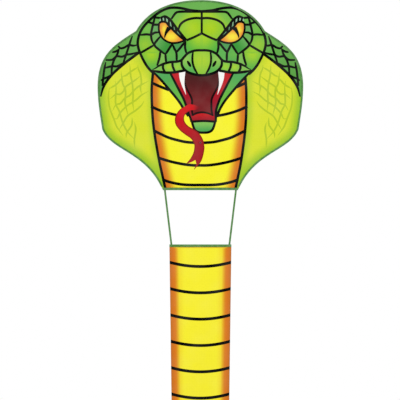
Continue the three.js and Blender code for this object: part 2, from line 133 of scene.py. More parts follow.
def linear(colour):
    """sRGB from 0 to 255, as the albedo that shows that colour under this scene's light."""
    share = np.asarray(colour, float) / 255
    light = np.where(share <= 0.04045, share / 12.92, ((share + 0.055) / 1.055) ** 2.4)
    return light * EXPOSURE


def rgba(colour):
    return (*linear(colour), 1.0)


# ---------------- colour that changes over a shape


def smoothstep(share):
    share = np.clip(share, 0, 1)
    return share * share * (3 - 2 * share)


def at_least(lowest, share):
    """A share from 0 to 1, raised so that it starts from a lowest value."""
    return lowest + (1 - lowest) * share


def mixed(first, last, share):
    share = np.asarray(share)[:, None]
    return np.asarray(first, float) * (1 - share) + np.asarray(last, float) * share


def radial(centre, radius, inner, outer):
    """One colour at a centre, turning into another at a radius."""

    def colour(points):
        return mixed(inner, outer, smoothstep(np.linalg.norm(points - centre, axis=1) / radius))

    return colour


def along(start, end, first, last):
    """One colour at a start point, turning into another at an end point."""
    start = np.asarray(start, float)
    way = np.asarray(end, float) - start

    def colour(points):
        return mixed(first, last, smoothstep((points - start) @ way / (way @ way)))

    return colour


# ---------------- flat curves


def bezier(points, steps):
    """Points on a cubic, without its first one."""
    a, b, c, d = np.asarray(points, float)
    share = (np.arange(steps) + 1)[:, None] / steps
    rest = 1 - share
    return rest**3 * a + 3 * rest**2 * share * b + 3 * rest * share**2 * c + share**3 * d


def smooth(points, step=4.0):
    """A smooth curve through given points, sampled about every step."""
    p = np.asarray(points, float)
    p = np.vstack([2 * p[0] - p[1], p, 2 * p[-1] - p[-2]])
    curve = [p[1][None]]
    for a, b, c, d in zip(p, p[1:], p[2:], p[3:]):
        count = max(1, math.ceil(np.linalg.norm(c - b) / step))
        t = (np.arange(count) + 1)[:, None] / count
        bend = (2 * a - 5 * b + 4 * c - d) * t**2 + (3 * b - a - 3 * c + d) * t**3
        curve.append(0.5 * (2 * b + (c - a) * t + bend))
    return np.vstack(curve)


def lengths_along(curve):
    steps = np.linalg.norm(np.diff(curve, axis=0), axis=1)
    return np.concatenate([[0], np.cumsum(steps)])


def sampled(rows, done, places):
    """Rows of values, known at lengths along a curve, at other places along it."""
    return np.stack([np.interp(places, done, column) for column in rows.T], axis=1)


def unit(ways):
    return ways / np.linalg.norm(ways, axis=1)[:, None]


def directions(curve):
    return unit(np.gradient(curve, axis=0))


def turned(way):
    """Flat directions turned a quarter turn to the left."""
    return np.stack([-way[:, 1], way[:, 0]], axis=1)


def ribbon(curve, width, ends):
    """The outline of a stroke; ends are its shares of the width at its start and its end."""
    done = lengths_along(curve)
    half = width / 2 * np.interp(done / done[-1], [0, 0.2, 0.8, 1], [ends[0], 1, 1, ends[1]])
    offset = turned(directions(curve)) * half[:, None]
    return np.vstack([curve + offset, (curve - offset)[::-1]])


def distance_to(line, points):
    """Each point's distance to a polyline."""
    best = np.full(len(points), np.inf)
    for a, b in zip(line, line[1:]):
        way = b - a
        share = np.clip((points - a) @ way / (way @ way), 0, 1)
        best = np.minimum(best, np.linalg.norm(points - (a + share[:, None] * way), axis=1))
    return best


def covers(polygon, points):
    """True where a point lies inside a closed polygon."""
    inside = np.all((points >= polygon.min(axis=0)) & (points <= polygon.max(axis=0)), axis=1)
    x, z = points[inside].T
    turns = np.zeros(len(x), int)
    for (x0, z0), (x1, z1) in zip(polygon, np.roll(polygon, -1, axis=0)):
        side = (x1 - x0) * (z - z0) - (x - x0) * (z1 - z0)
        turns += (z0 <= z) & (z1 > z) & (side > 0)
        turns -= (z0 > z) & (z1 <= z) & (side < 0)
    inside[inside] = turns != 0
    return inside


def folded_over(points):
    """Points with the left half folded over the right one."""
    return np.stack([np.abs(points[:, 0]), points[:, 1]], axis=1)


def at_depth(flat_points, depth):
    """Flat points as places in space: one depth for all, or one for each."""
    return np.stack([flat_points[:, 0], np.full(len(flat_points), depth), flat_points[:, 1]], axis=1)


# ---------------- printed artwork

INK_SPREAD = 1.9


class Artwork:
    """Shapes in painting order: the last one that covers a point gives its colour."""

    def __init__(self):
        self.shapes = []
        self.sway = np.zeros_like

    def drawn_at(self, sway):
        """From here on, shift what is drawn to the right by a function of its height."""
        self.sway = sway

    def fill(self, points, colour, sides=BOTH):
        """A shape in one colour or a changing one, drawn for the right half and mirrored for the left."""
        for side in sides:
            polygon = np.array(points, float) * (side, 1)
            polygon[:, 0] += self.sway(polygon[:, 1])
            self.shapes.append((polygon, colour, side, self.sway))

    def line(self, points, width=5.2, colour=BLACK, sides=BOTH, ends=(0.7, 0.7)):
        """A drawn line, printed a little wider than drawn because the ink spreads."""
        self.fill(ribbon(smooth(points), width + INK_SPREAD, ends), colour, sides)

    def lines(self, many, **options):
        for points in many:
            self.line(points, **options)

    def colours(self, flat_points, triangles):
        """The colour of each triangle's corners."""
        corners = flat_points[triangles]
        middles = corners.mean(axis=1)
        top = np.full(len(triangles), -1)
        for number, shape in enumerate(self.shapes):
            top[covers(shape[0], middles)] = number
        result = np.zeros((len(triangles), 3, 3))
        for number, (_, colour, side, sway) in enumerate(self.shapes):
            mine = top == number
            if mine.any():
                points = corners[mine].reshape(-1, 2).copy()
                points[:, 0] -= sway(points[:, 1])
                shade = colour(points * (side, 1)) if callable(colour) else np.tile(colour, (len(points), 1))
                result[mine] = shade.reshape(-1, 3, 3)
        return result


def triangulated(loops, lines, points, outline, holes):
    """Triangles over an outline that keep every loop's and line's edges."""
    places = []
    edges = []
    for chain, closed in [(c, True) for c in loops] + [(c, False) for c in lines]:
        first = len(places)
        places.extend(map(Vector, chain.tolist()))
        edges.extend((first + i, first + i + 1) for i in range(len(chain) - 1))
        if closed:
            edges.append((len(places) - 1, first))
    places.extend(map(Vector, points.tolist()))
    found = geometry.delaunay_2d_cdt(places, edges, [], 0, 0.02, False)
    flat_points = np.array([tuple(p) for p in found[0]])
    triangles = np.array(found[2])
    middles = flat_points[triangles].mean(axis=1)
    kept = covers(outline, middles)
    for hole in holes:
        kept &= ~covers(hole, middles)
    triangles = triangles[kept]
    a, b, c = np.moveaxis(flat_points[triangles], 1, 0)
    area = (b - a)[:, 0] * (c - a)[:, 1] - (b - a)[:, 1] * (c - a)[:, 0]
    triangles[area < 0] = triangles[area < 0][:, ::-1]
    return flat_points, triangles[np.abs(area) > 1e-6]


def circle(x, z, radius, count=24):
    angles = np.arange(count) * 2 * math.pi / count
    return np.stack([x + radius * np.cos(angles), z + radius * np.sin(angles)], axis=1)


# ---------------- meshes

SOFT = math.radians(35)  # a bend between faces that still shades smoothly


def add_object(name, vertices, faces, materials, indices=None, smooth_faces=None):
    """A mesh object from points in millimetres."""
    mesh = bpy.data.meshes.new(name)
    mesh.from_pydata((np.asarray(vertices, float) * MM).tolist(), [], faces)
    for material in materials:
        mesh.materials.append(material)
    if indices is not None:
        mesh.polygons.foreach_set("material_index", indices)
    smoothed = np.ones(len(mesh.polygons), bool) if smooth_faces is None else smooth_faces
    mesh.polygons.foreach_set("use_smooth", smoothed)
    mesh.update()
    made = bpy.data.objects.new(name, mesh)
    bpy.context.collection.objects.link(made)
    return made


def cloth_object(name, flat_points, triangles, colours, place, thickness):
    """A closed thin sheet: place gives each flat point's place and the direction of its back."""
    used, numbers = np.unique(triangles, return_inverse=True)
    tris = numbers.reshape(-1, 3)
    middle, back_way = place(flat_points[used])
    count = len(used)
    vertices = np.vstack([middle - back_way * thickness / 2, middle + back_way * thickness / 2])
    starts = tris.reshape(-1)
    ends = tris[:, [1, 2, 0]].reshape(-1)
    border = ~np.isin(starts * count + ends, ends * count + starts)
    corner = colours.reshape(-1, 3)
    next_corner = colours[:, [1, 2, 0]].reshape(-1, 3)
    a, b = starts[border], ends[border]
    rim = np.stack([b, a, a + count, b + count], axis=1)
    rim_colours = np.stack([next_corner, corner, corner, next_corner], axis=1)[border]
    faces = tris.tolist() + (tris[:, ::-1] + count).tolist() + rim.tolist()
    indices = np.repeat([0, 1, 0], [len(tris), len(tris), len(rim)])
    smooth_faces = np.repeat([True, True, False], [len(tris), len(tris), len(rim)])
    made = add_object(name, vertices, faces, [PRINT, PRINT_BACK], indices, smooth_faces)
    srgb = np.vstack([corner, colours[:, ::-1].reshape(-1, 3), rim_colours.reshape(-1, 3)])
    tint = np.hstack([linear(srgb), np.ones((len(srgb), 1))])
    layer = made.data.color_attributes.new("print", "FLOAT_COLOR", "CORNER")
    layer.data.foreach_set("color", tint.reshape(-1).astype(np.float32))
    # Where each point lies on the cloth as cut, for the weave.
    spread = np.hstack([np.vstack([flat_points[used]] * 2), np.zeros((2 * count, 1))]) * MM
    layer = made.data.attributes.new("flat", "FLOAT_VECTOR", "POINT")
    layer.data.foreach_set("vector", spread.reshape(-1).astype(np.float32))
    return made


def swept(rings, looped=False):
    """Vertices and faces of a skin over closed rings of points, capped unless the last meets the first."""
    rings = np.asarray(rings, float)
    total, count = rings.shape[:2]
    faces = []
    for i in range(total if looped else total - 1):
        low = i * count
        high = (i + 1) % total * count
        for j in range(count):
            k = (j + 1) % count
            faces.append([low + j, low + k, high + k, high + j])
    if not looped:
        faces.append(list(range(count))[::-1])
        faces.append([(total - 1) * count + j for j in range(count)])
    return rings.reshape(-1, 3), faces


def joined(parts):
    """Several (vertices, faces) as one."""
    vertices = []
    faces = []
    first = 0
    for points, polygons in parts:
        vertices.append(np.asarray(points, float))
        faces.extend([first + i for i in polygon] for polygon in polygons)
        first += len(points)
    return np.vstack(vertices), faces


def piece(name, body, slot, node, *parts):
    """A piece from (mesh, material) parts, in place of a CAD node; edges sharper than SOFT stay sharp."""
    vertices, faces = joined([part for part, _ in parts])
    indices = np.repeat(range(len(parts)), [len(part[1]) for part, _ in parts])
    made = add_object(name, vertices, faces, [material for _, material in parts], indices)
    mesh = bmesh.new()
    mesh.from_mesh(made.data)
    bmesh.ops.recalc_face_normals(mesh, faces=mesh.faces)
    for edge in mesh.edges:
        edge.smooth = len(edge.link_faces) == 2 and edge.calc_face_angle(0) < SOFT
    mesh.to_mesh(made.data)
    mesh.free()
    if body:
        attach(made, body)
    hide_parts(node)
    return made


# ---------------- stitches

STITCH = 2.6
STITCH_PITCH = 4.0
THREAD = 0.32  # how far a stitch stands out


def stitch(centre, way, out):
    """One flattened stitch: a spindle with a four-sided section, lying along a direction."""
    side = np.cross(way, out) * THREAD * 0.75
    up = np.array(out) * THREAD
    ring = np.array([side, up, -side, -0.4 * up])
    stations = ((-1, 0.45), (-0.55, 1), (0.55, 1), (1, 0.45))  # shares of half its length, and of its width
    return swept([centre + share * way * STITCH / 2 + ring * size for share, size in stations])


def stitch_row(curve, out):
    """Stitches along a curve of points, standing out of a surface."""
    curve = np.asarray(curve, float)
    done = lengths_along(curve)
    places = np.arange(STITCH_PITCH / 2, done[-1], STITCH_PITCH)
    ways = unit(sampled(directions(curve), done, places))
    return joined([stitch(centre, way, out) for centre, way in zip(sampled(curve, done, places), ways)])


# ---------------- materials

# The Mix node has one socket of each name for every data type; these are its colour ones.
MIX_COLOUR_INPUTS = (0, 6, 7)
MIX_COLOUR_OUTPUT = 2


class Finish:
    """A procedural material around one Principled shader.

    Without a colour it shows the print, and its pattern follows the cloth as cut. With one, its pattern
    follows the object's own space.
    """

    def __init__(self, name, colour=None, *, roughness, specular, sheen=0.0, coat=0.0):
        self.material = bpy.data.materials.new(name)
        self.material.use_nodes = True
        self.tree = self.material.node_tree
        self.shader = self.tree.nodes["Principled BSDF"]
        self.shader.inputs["Specular IOR Level"].default_value = specular
        self.shader.inputs["Sheen Weight"].default_value = sheen
        self.shader.inputs["Coat Weight"].default_value = coat
        self.roughness = roughness
        self.height = None
        if colour is None:
            self.colour = self.attribute("print").outputs["Color"]
            self.where = self.attribute("flat").outputs["Vector"]
        else:
            self.colour = self.add("ShaderNodeRGB").outputs[0]
            self.colour.default_value = rgba(colour)
            self.where = self.add("ShaderNodeTexCoord").outputs["Object"]

    def add(self, kind, **inputs):
        node = self.tree.nodes.new(kind)
        for key, value in inputs.items():
            self.put(node.inputs[key.replace("_", " ")], value)
        return node

    def put(self, socket, value):
        if isinstance(value, bpy.types.NodeSocket):
            self.tree.links.new(value, socket)
        else:
            socket.default_value = value

    def attribute(self, name):
        node = self.add("ShaderNodeAttribute")
        node.attribute_name = name
        return node

    def noise(self, size, detail=3.0):
        """Soft noise with patches of about a size in millimetres."""
        node = self.add("ShaderNodeTexNoise", Vector=self.where, Scale=1 / (size * MM), Detail=detail)
        return node.outputs["Fac"]

    def bands(self, pitch, direction, thin=0.0):
        """Lines across a direction, one every pitch in millimetres."""
        node = self.add("ShaderNodeTexWave", Vector=self.where, Scale=2 * math.pi / (20 * pitch * MM))
        node.bands_direction = direction
        return self.between(node.outputs["Fac"], thin, 1.0)

    def between(self, value, low, high, to_low=0.0, to_high=1.0):
        limits = {"From_Min": low, "From_Max": high, "To_Min": to_low, "To_Max": to_high}
        return self.add("ShaderNodeMapRange", Value=value, **limits).outputs["Result"]

    def maths(self, operation, first, second):
        node = self.add("ShaderNodeMath")
        node.operation = operation
        self.put(node.inputs[0], first)
        self.put(node.inputs[1], second)
        return node.outputs[0]

    def tint(self, share, colour):
        """Move the colour towards another by a share."""
        node = self.add("ShaderNodeMix")
        node.data_type = "RGBA"
        factor, first, second = (node.inputs[number] for number in MIX_COLOUR_INPUTS)
        self.put(factor, share)
        self.put(first, self.colour)
        self.put(second, rgba(colour))
        self.colour = node.outputs[MIX_COLOUR_OUTPUT]

    def patches(self, noise, low, high, share, colour):
        """Move the colour towards another by up to a share, where a noise rises from low to high."""
        self.tint(self.between(noise, low, high, 0.0, share), colour)

    def raise_by(self, height, share=1.0):
        """Add a height to the bump."""
        scaled = self.maths("MULTIPLY", height, share)
        self.height = scaled if self.height is None else self.maths("ADD", self.height, scaled)

    def done(self, noise, spread, depth):
        """Link the colour, a roughness varied by a noise, and the bump with its depth in millimetres."""
        self.put(self.shader.inputs["Base Color"], self.colour)
        low, high = self.roughness - spread, self.roughness + spread
        self.put(self.shader.inputs["Roughness"], self.between(noise, 0.3, 0.7, low, high))
        bump = self.add("ShaderNodeBump", Height=self.height, Distance=depth * MM, Strength=1.0)
        self.put(self.shader.inputs["Normal"], bump.outputs["Normal"])
        return self.material


RIPSTOP_PITCH = 5.0


def ripstop(name, back=False):
    """Printed ripstop nylon: a fine weave with a raised grid; its back shows the print paler."""
    finish = Finish(name, roughness=0.62, specular=0.04)
    grid = finish.maths("MAXIMUM", *(finish.bands(RIPSTOP_PITCH, way, thin=0.9) for way in "XY"))
    weave = finish.maths("ADD", *(finish.bands(0.55, way) for way in "XY"))
    if back:
        finish.tint(0.25, (250, 252, 246))
    finish.tint(finish.maths("MULTIPLY", grid, 0.06), (20, 30, 14))
    finish.patches(finish.noise(60), 0.4, 0.75, 0.025, (255, 255, 240))
    finish.raise_by(grid, 0.5)
    finish.raise_by(weave, 0.22)
    finish.raise_by(finish.noise(28, 2.0), 1.6)
    return finish.done(finish.noise(9), 0.08, 0.12)


def woven(name, colour, dark, pitch=0.8):
    """Woven tape or webbing: ribs across and along, with worn lighter patches."""
    finish = Finish(name, colour, roughness=0.82, specular=0.2, sheen=0.06)
    ribs = finish.maths("MULTIPLY", *(finish.bands(pitch, way) for way in "XZ"))
    wear = finish.noise(14)
    finish.tint(finish.maths("MULTIPLY", ribs, 0.25), dark)
    finish.patches(wear, 0.4, 0.75, 0.16, (226, 232, 216))
    finish.raise_by(ribs, 0.8)
    finish.raise_by(finish.noise(2.2), 0.5)
    return finish.done(wear, 0.08, 0.14)


def thread(name, colour):
    """Twisted sewing thread."""
    finish = Finish(name, colour, roughness=0.6, specular=0.25, sheen=0.08)
    twist = finish.noise(0.5, 1.0)
    finish.patches(twist, 0.4, 0.6, 0.25, (12, 14, 10))
    finish.raise_by(twist)
    return finish.done(twist, 0.1, 0.08)


def drawn_rod(name, colour):
    """Pultruded fibre rod: gloss with fine fibres showing and rubbed patches."""
    finish = Finish(name, colour, roughness=0.34, specular=0.45, coat=0.2)
    fibres = finish.noise(1.4, 5.0)
    rubbed = finish.noise(30)
    finish.patches(fibres, 0.35, 0.75, 0.22, (120, 124, 126))
    finish.patches(rubbed, 0.55, 0.8, 0.2, (150, 152, 150))
    finish.raise_by(fibres, 0.6)
    return finish.done(rubbed, 0.1, 0.04)


def moulded(name, colour):
    """Moulded vinyl with a fine grain and scuffs."""
    finish = Finish(name, colour, roughness=0.5, specular=0.4)
    scuffs = finish.noise(6, 6.0)
    finish.patches(scuffs, 0.55, 0.8, 0.3, (110, 112, 112))
    finish.raise_by(finish.noise(0.7, 4.0))
    return finish.done(scuffs, 0.12, 0.05)


def enamelled(name, colour):
    """Enamelled eyelet metal, worn to brass in spots."""
    finish = Finish(name, colour, roughness=0.3, specular=0.5, coat=0.3)
    worn = finish.noise(1.6, 5.0)
    finish.patches(worn, 0.6, 0.72, 0.5, (176, 150, 92))
    finish.raise_by(worn)
    return finish.done(worn, 0.1, 0.03)


def elastic(name, colour):
    """Knitted elastic: close ribs along the band and a pale fleck."""
    finish = Finish(name, colour, roughness=0.9, specular=0.15, sheen=0.15)
    ribs = finish.bands(1.25, "Z")
    fleck = finish.noise(1.2)
    finish.patches(fleck, 0.55, 0.8, 0.3, (120, 120, 122))
    finish.tint(finish.maths("MULTIPLY", ribs, 0.2), (4, 4, 5))
    finish.raise_by(ribs)
    finish.raise_by(finish.bands(0.9, "X"), 0.6)
    return finish.done(fleck, 0.05, 0.25)


PRINT = ripstop("printed_cloth")
PRINT_BACK = ripstop("printed_cloth_back", back=True)
TAPE_GREEN = woven("green_tape", RIM_GREEN, (50, 84, 40))
THREAD_GREEN = thread("green_thread", (66, 100, 52))
WEBBING = woven("dark_webbing", (34, 40, 34), (8, 10, 8), pitch=1.1)
THREAD_DARK = thread("dark_thread", (70, 76, 66))
ROD = drawn_rod("fibre_rod", (38, 41, 43))
VINYL = moulded("black_vinyl", (24, 25, 27))
ENAMEL = enamelled("black_enamel", (20, 20, 20))
TONGUE_ENAMEL = enamelled("red_enamel", (150, 26, 38))
ELASTIC = elastic("black_elastic", (30, 30, 33))

# ---------------- the head's outline

# Each curve is a cubic whose points are shares of half the hood's width and of the head's height.
OUTLINE_CURVES = [
    [(0, 0), (0.204, 0), (0.487, 0.0275), (0.627, 0.163)],  # crown to the notch above the hood
    [(0.627, 0.163), (0.852, 0.2386), (0.99, 0.2875), (1, 0.4447)],  # shoulder
    [(1, 0.4447), (1, 0.543), (0.975, 0.6054), (0.955, 0.679)],  # side
    [(0.955, 0.679), (0.869, 0.797), (0.528, 0.7953), (0.367, 1)],  # underside, to the hem's end
]
OUTLINE_STEPS = (30, 26, 14, 34)


def right_outline():
    """The right half of the head's edge, from the crown to the hem's end."""
    curves = [np.array(curve) * (HALF_HOOD, -HEAD_HEIGHT) + (0, CROWN_Z) for curve in OUTLINE_CURVES]
    parts = [curves[0][:1]]
    parts += [bezier(curve, steps) for curve, steps in zip(curves, OUTLINE_STEPS)]
    return np.vstack(parts)


OUTLINE = right_outline()


def inward(curve):
    """Directions into the head from a curve that runs down its right side from the middle line."""
    way = directions(curve)
    way[0] = (1, 0)
    return -turned(way)


CLOTH_INSET = 1.2
CLOTH_FOOT_Z = HEM_TOP_Z - 3


def head_cloth_outline():
    right = OUTLINE + inward(OUTLINE) * CLOTH_INSET
    right = right[right[:, 1] > CLOTH_FOOT_Z]
    right = np.vstack([right, (right[-1][0] - 1.5, CLOTH_FOOT_Z)])
    left = (right * (-1, 1))[::-1]
    return np.vstack([right, left[:-1]])


# ---------------- the head's print

# Points are (distance from the middle line, height) for the right half; the left is its mirror.
HEAD_LINE = [
    (0, 68), (32, 71), (54, 76), (77, 79), (97, 78), (117, 71), (137, 58), (160, 38), (178, 17),
    (188, -4), (192, -24), (190, -42), (182, -64), (168, -91), (154, -109), (141, -121),
]
BELLY_LINE = [
    (138, -118), (141, -150), (142, -180), (141, -229), (139, -265), (134, -310), (128, -350),
    (121, -391), (113, -428), (104, -470),
]
HOOD_LINE = [
    (182, -54), (205, -71), (225, -86), (251, -108), (267, -124), (282, -143), (292, -162), (299, -188),
]
UPPER_LIP = [
    (148, -106), (141, -104), (129, -96), (113, -89), (93, -84), (75, -83), (62, -79), (52, -68),
    (42, -58), (26, -51), (12, -49), (0, -49),
]
LOWER_LIP = [
    (152, -108), (141, -111), (125, -114), (103, -116), (83, -115), (66, -112), (50, -109),
]
NOSE_LINE = [
    (60, -79), (60, -92), (54, -104), (42, -114), (26, -120), (12, -123), (0, -124),
]
ROSTRAL_LINE = [(26, -53), (28, -70), (27, -87), (22, -103), (12, -121)]
BROW_TOP = [(125, 48), (111, 53), (101, 48), (93, 41), (81, 25), (64, 3), (46, -19)]
EYE_TOP = [(128, 33), (119, 37), (107, 35), (97, 23), (83, 9), (68, -5), (50, -20)]
EYE_FOOT = [
    (128, 33), (129, 17), (127, 5), (123, -5), (115, -15), (103, -23), (89, -27), (72, -26), (58, -22),
    (48, -19),
]
TOP_PLATE = [(0, 67), (32, 67), (60, 67), (75, 65), (83, 57), (91, 45)]
ARCH = [(70, 13), (66, 25), (60, 33), (48, 41), (32, 46), (16, 48), (0, 47)]
STEEP_SCALE_LINES = [
    [(188, -92), (186, -106), (180, -120), (177, -147), (180, -159), (177, -180)],
    [(212, -90), (209, -126), (204, -150), (202, -184), (203, -206), (200, -231)],
    [(238, -112), (233, -149), (225, -166), (225, -193), (226, -208), (217, -243)],
    [(256, -140), (253, -160), (254, -185), (254, -210), (244, -231), (233, -266), (219, -293), (200, -314)],
    [(273, -160), (276, -190), (272, -222), (260, -254), (252, -276), (243, -290), (232, -305)],
    [(205, -250), (206, -273), (221, -296), (223, -312)],
    [(198, -264), (194, -287), (198, -317), (197, -342)],
]
SHALLOW_SCALE_LINES = [
    [(236, -128), (223, -124), (212, -115), (200, -107), (187, -99)],
    [(273, -164), (252, -151), (242, -140), (232, -130)],
    [(271, -195), (254, -181), (242, -181), (231, -172), (225, -159), (208, -147), (194, -137), (180, -126)],
    [(264, -231), (254, -213), (240, -208), (227, -193), (212, -184), (200, -170), (185, -157), (154, -140)],
    [(262, -252), (250, -254), (241, -237), (221, -216), (204, -205), (192, -197), (175, -182), (156, -172)],
    [(244, -288), (231, -266), (223, -252), (215, -243), (194, -229), (177, -214), (169, -200)],
]
# How far the darker green reaches over the hood, from its edge, the belly and the head.
EDGE_SHADE = 40
BELLY_SHADE = 26
HEAD_SHADE = 34


def paint_hood(art):
    """The hood's skin: yellow-green, darker along its edge and the belly, under a net of scales."""

    def colour(points):
        folded = folded_over(points)
        from_edge = smoothstep(distance_to(OUTLINE, folded) / EDGE_SHADE)
        from_belly = smoothstep((folded[:, 0] - belly_edge(points)) / BELLY_SHADE)
        from_head = smoothstep(distance_to(smooth(HEAD_LINE), folded) / HEAD_SHADE)
        share = from_edge * at_least(0.42, from_belly) * at_least(0.6, from_head)
        return mixed(HOOD_EDGE, HOOD_BRIGHT, at_least(0.08, share))

    art.fill([(-400, 200), (400, 200), (400, -600), (-400, -600)], colour, MIDDLE)
    art.lines([*STEEP_SCALE_LINES, *SHALLOW_SCALE_LINES], width=3.4, colour=NET_OLIVE, ends=(0.2, 0.2))


def paint_shoulders(art):
    """Dark green crown and shoulders above the hood, with their net of black lines."""
    line = smooth(HOOD_LINE)
    far = np.array([(360, -188), (360, 160), (0, 160), (0, -54)])
    shade = along((200, 20), (290, -150), CROWN_GREEN, SHOULDER_GREEN)
    art.fill(np.vstack([line, far]), shade)
    art.line(HOOD_LINE, 6.4, ends=(1, 0.5))
    art.lines(
        [
            [(204, -6), (210, -22), (217, -44), (223, -62), (231, -86)],
            [(243, -42), (249, -60), (259, -78), (265, -97), (267, -120)],
            [(284, -84), (289, -110), (292, -137), (294, -156)],
            [(190, -33), (202, -35), (215, -33), (227, -40), (239, -43), (247, -36)],
            [(187, -54), (207, -60), (221, -62), (235, -68), (251, -67), (265, -77), (284, -78)],
            [(290, -103), (267, -97), (251, -97), (240, -92), (229, -86)],
            [(299, -140), (290, -134), (277, -129), (265, -121)],
            [(265, -55), (253, -52), (244, -46)],
        ],
        width=5.0,
        ends=(0.5, 0.8),
    )


BELLY_SWAY = -4.5  # how far the belly's top is drawn off the middle line
BELLY_SWAY_FOOT_Z = -460
BELLY_SWAY_HEIGHT = 330
BELLY_SIDE = 7
BELLY_FADE = 32


def belly_edge(points):
    return np.interp(-points[:, 1], [-z for _, z in BELLY_LINE], [x for x, _ in BELLY_LINE])


def paint_belly(art):
    """The yellow belly with orange sides, crossed by sagging black arcs."""

    def colour(points):
        inside = belly_edge(points) - np.abs(points[:, 0])
        return mixed(BELLY_ORANGE, BELLY_YELLOW, smoothstep((inside - BELLY_SIDE) / BELLY_FADE))

    art.drawn_at(lambda z: BELLY_SWAY * smoothstep((z - BELLY_SWAY_FOOT_Z) / BELLY_SWAY_HEIGHT))
    border = smooth(BELLY_LINE)
    art.fill(np.vstack([border, (border * (-1, 1))[::-1]]), colour, MIDDLE)
    art.line(BELLY_LINE, 6.2, ends=(1, 1))
    arcs = [
        [(142, -146), (118, -157), (90, -168)],
        [(145, -217), (121, -228), (97, -236), (73, -242), (50, -246)],
        [(139, -289), (117, -300), (93, -311), (65, -319), (42, -324), (18, -326), (0, -327)],
        [(126, -371), (105, -378), (79, -385), (48, -391), (20, -394), (0, -394)],
        [(114, -436), (93, -444), (58, -451), (28, -453), (0, -453)],
    ]
    art.lines(arcs, width=6.8, ends=(1, 1))


FACE_SWAY = 4.0  # how far the face is drawn off the middle line
JAW_LEAN = 5.5  # how much further the chin is
JAW_LEAN_DROP = 40
JAW_LEAN_FROM_Z = -225
JAW_OUTER = [(145, -114), (123, -137), (103, -160), (77, -191), (62, -212), (50, -234), (43, -247)]
JAW_INNER = [(96, -114), (80, -145), (64, -176), (54, -196), (46, -218), (41, -238), (36, -264)]
THROAT = [(50, -112), (52, -138), (46, -162), (31, -192), (29, -212), (30, -246)]
CHIN = [
    (-35, -262), (-31, -277), (-25, -289), (-14, -295), (0, -296), (14, -295), (25, -289), (31, -277),
    (35, -262),
]
FANG = [
    (69, -110), (66, -135), (59, -156), (52, -172), (47, -182), (50, -164), (52, -145), (49, -110),
]


def mirrored_loop(half):
    """A closed outline from its right side."""
    curve = smooth(half)
    return np.vstack([curve, (curve * (-1, 1))[::-1]])


def paint_jaw(art):
    """The open mouth: green jaw strips, crimson gums, dark throat, red floor, chin and fangs."""
    art.drawn_at(lambda z: FACE_SWAY + JAW_LEAN * smoothstep((JAW_LEAN_FROM_Z - z) / JAW_LEAN_DROP))
    strip = np.vstack([smooth(JAW_OUTER), smooth(JAW_INNER)[::-1]])
    art.fill(strip, along((120, -118), (60, -215), (84, 172, 92), (112, 190, 62)))
    art.fill(mirrored_loop(JAW_INNER), along((0, -120), (0, -250), CRIMSON, (146, 26, 48)), MIDDLE)
    art.fill(mirrored_loop(THROAT), along((0, -120), (0, -215), MOUTH_TOP, MOUTH_FOOT), MIDDLE)
    art.line(THROAT, 4.4, along((0, -120), (0, -190), (70, 22, 24), (26, 5, 8)), ends=(0.5, 0.9))
    floor = [(-32, -245), (-18, -238), (0, -235), (18, -238), (32, -245)]
    bed = np.vstack([smooth(floor), [(38, -250), (36, -262), (-36, -262), (-38, -250)]])
    art.fill(bed, along((0, -236), (0, -262), (204, 26, 32), (156, 24, 40)), MIDDLE)
    art.line(floor, 4.2, (30, 5, 8), MIDDLE)
    art.fill(smooth(CHIN), along((0, -266), (0, -294), (132, 198, 92), (76, 166, 84)), MIDDLE)
    art.line(CHIN, 5.6, sides=MIDDLE, ends=(1, 1))
    art.line([(-35, -263), (0, -261), (35, -263)], 5.0, sides=MIDDLE, ends=(1, 1))
    art.line(JAW_INNER, 5.4, ends=(0.8, 1))
    art.line(JAW_OUTER, 5.8, ends=(0.8, 1))
    art.fill(smooth(FANG), FANG_WHITE)


TONGUE_OUTER = [
    (-33, -210), (-48, -218), (-63, -229), (-74, -250), (-73, -270), (-61, -287), (-44, -301), (-27, -313),
    (-17, -330), (-17, -346), (-20, -358), (-28, -373), (-41, -389),
]
TONGUE_INNER = [
    (2, -222), (-17, -228), (-29, -229), (-42, -236), (-50, -248), (-49, -263), (-38, -277), (-21, -287),
    (-6, -298), (6, -317), (10, -336), (10, -347), (6, -367), (0, -383), (-9, -394), (-19, -406),
]
TONGUE_CROTCH = [(-26, -384), (-15, -378), (-12, -391)]


def paint_tongue(art):
    """The forked tongue that curls out over the lower jaw."""
    art.drawn_at(np.zeros_like)
    shape = np.vstack([smooth(TONGUE_OUTER), TONGUE_CROTCH, smooth(TONGUE_INNER)[::-1], [(-16, -213)]])
    body = along((-40, -215), (-12, -350), TONGUE_TOP, TONGUE_TIP)

    def colour(points):
        into_mouth = smoothstep((points[:, 0] + 26) / 24) * smoothstep((points[:, 1] + 250) / 10)
        return mixed(body(points), TONGUE_ROOT, into_mouth)

    art.fill(shape, colour, MIDDLE)
    art.lines([TONGUE_OUTER[1:], TONGUE_INNER[2:]], width=1.6, colour=TONGUE_EDGE, sides=MIDDLE,
              ends=(0.3, 0.6))


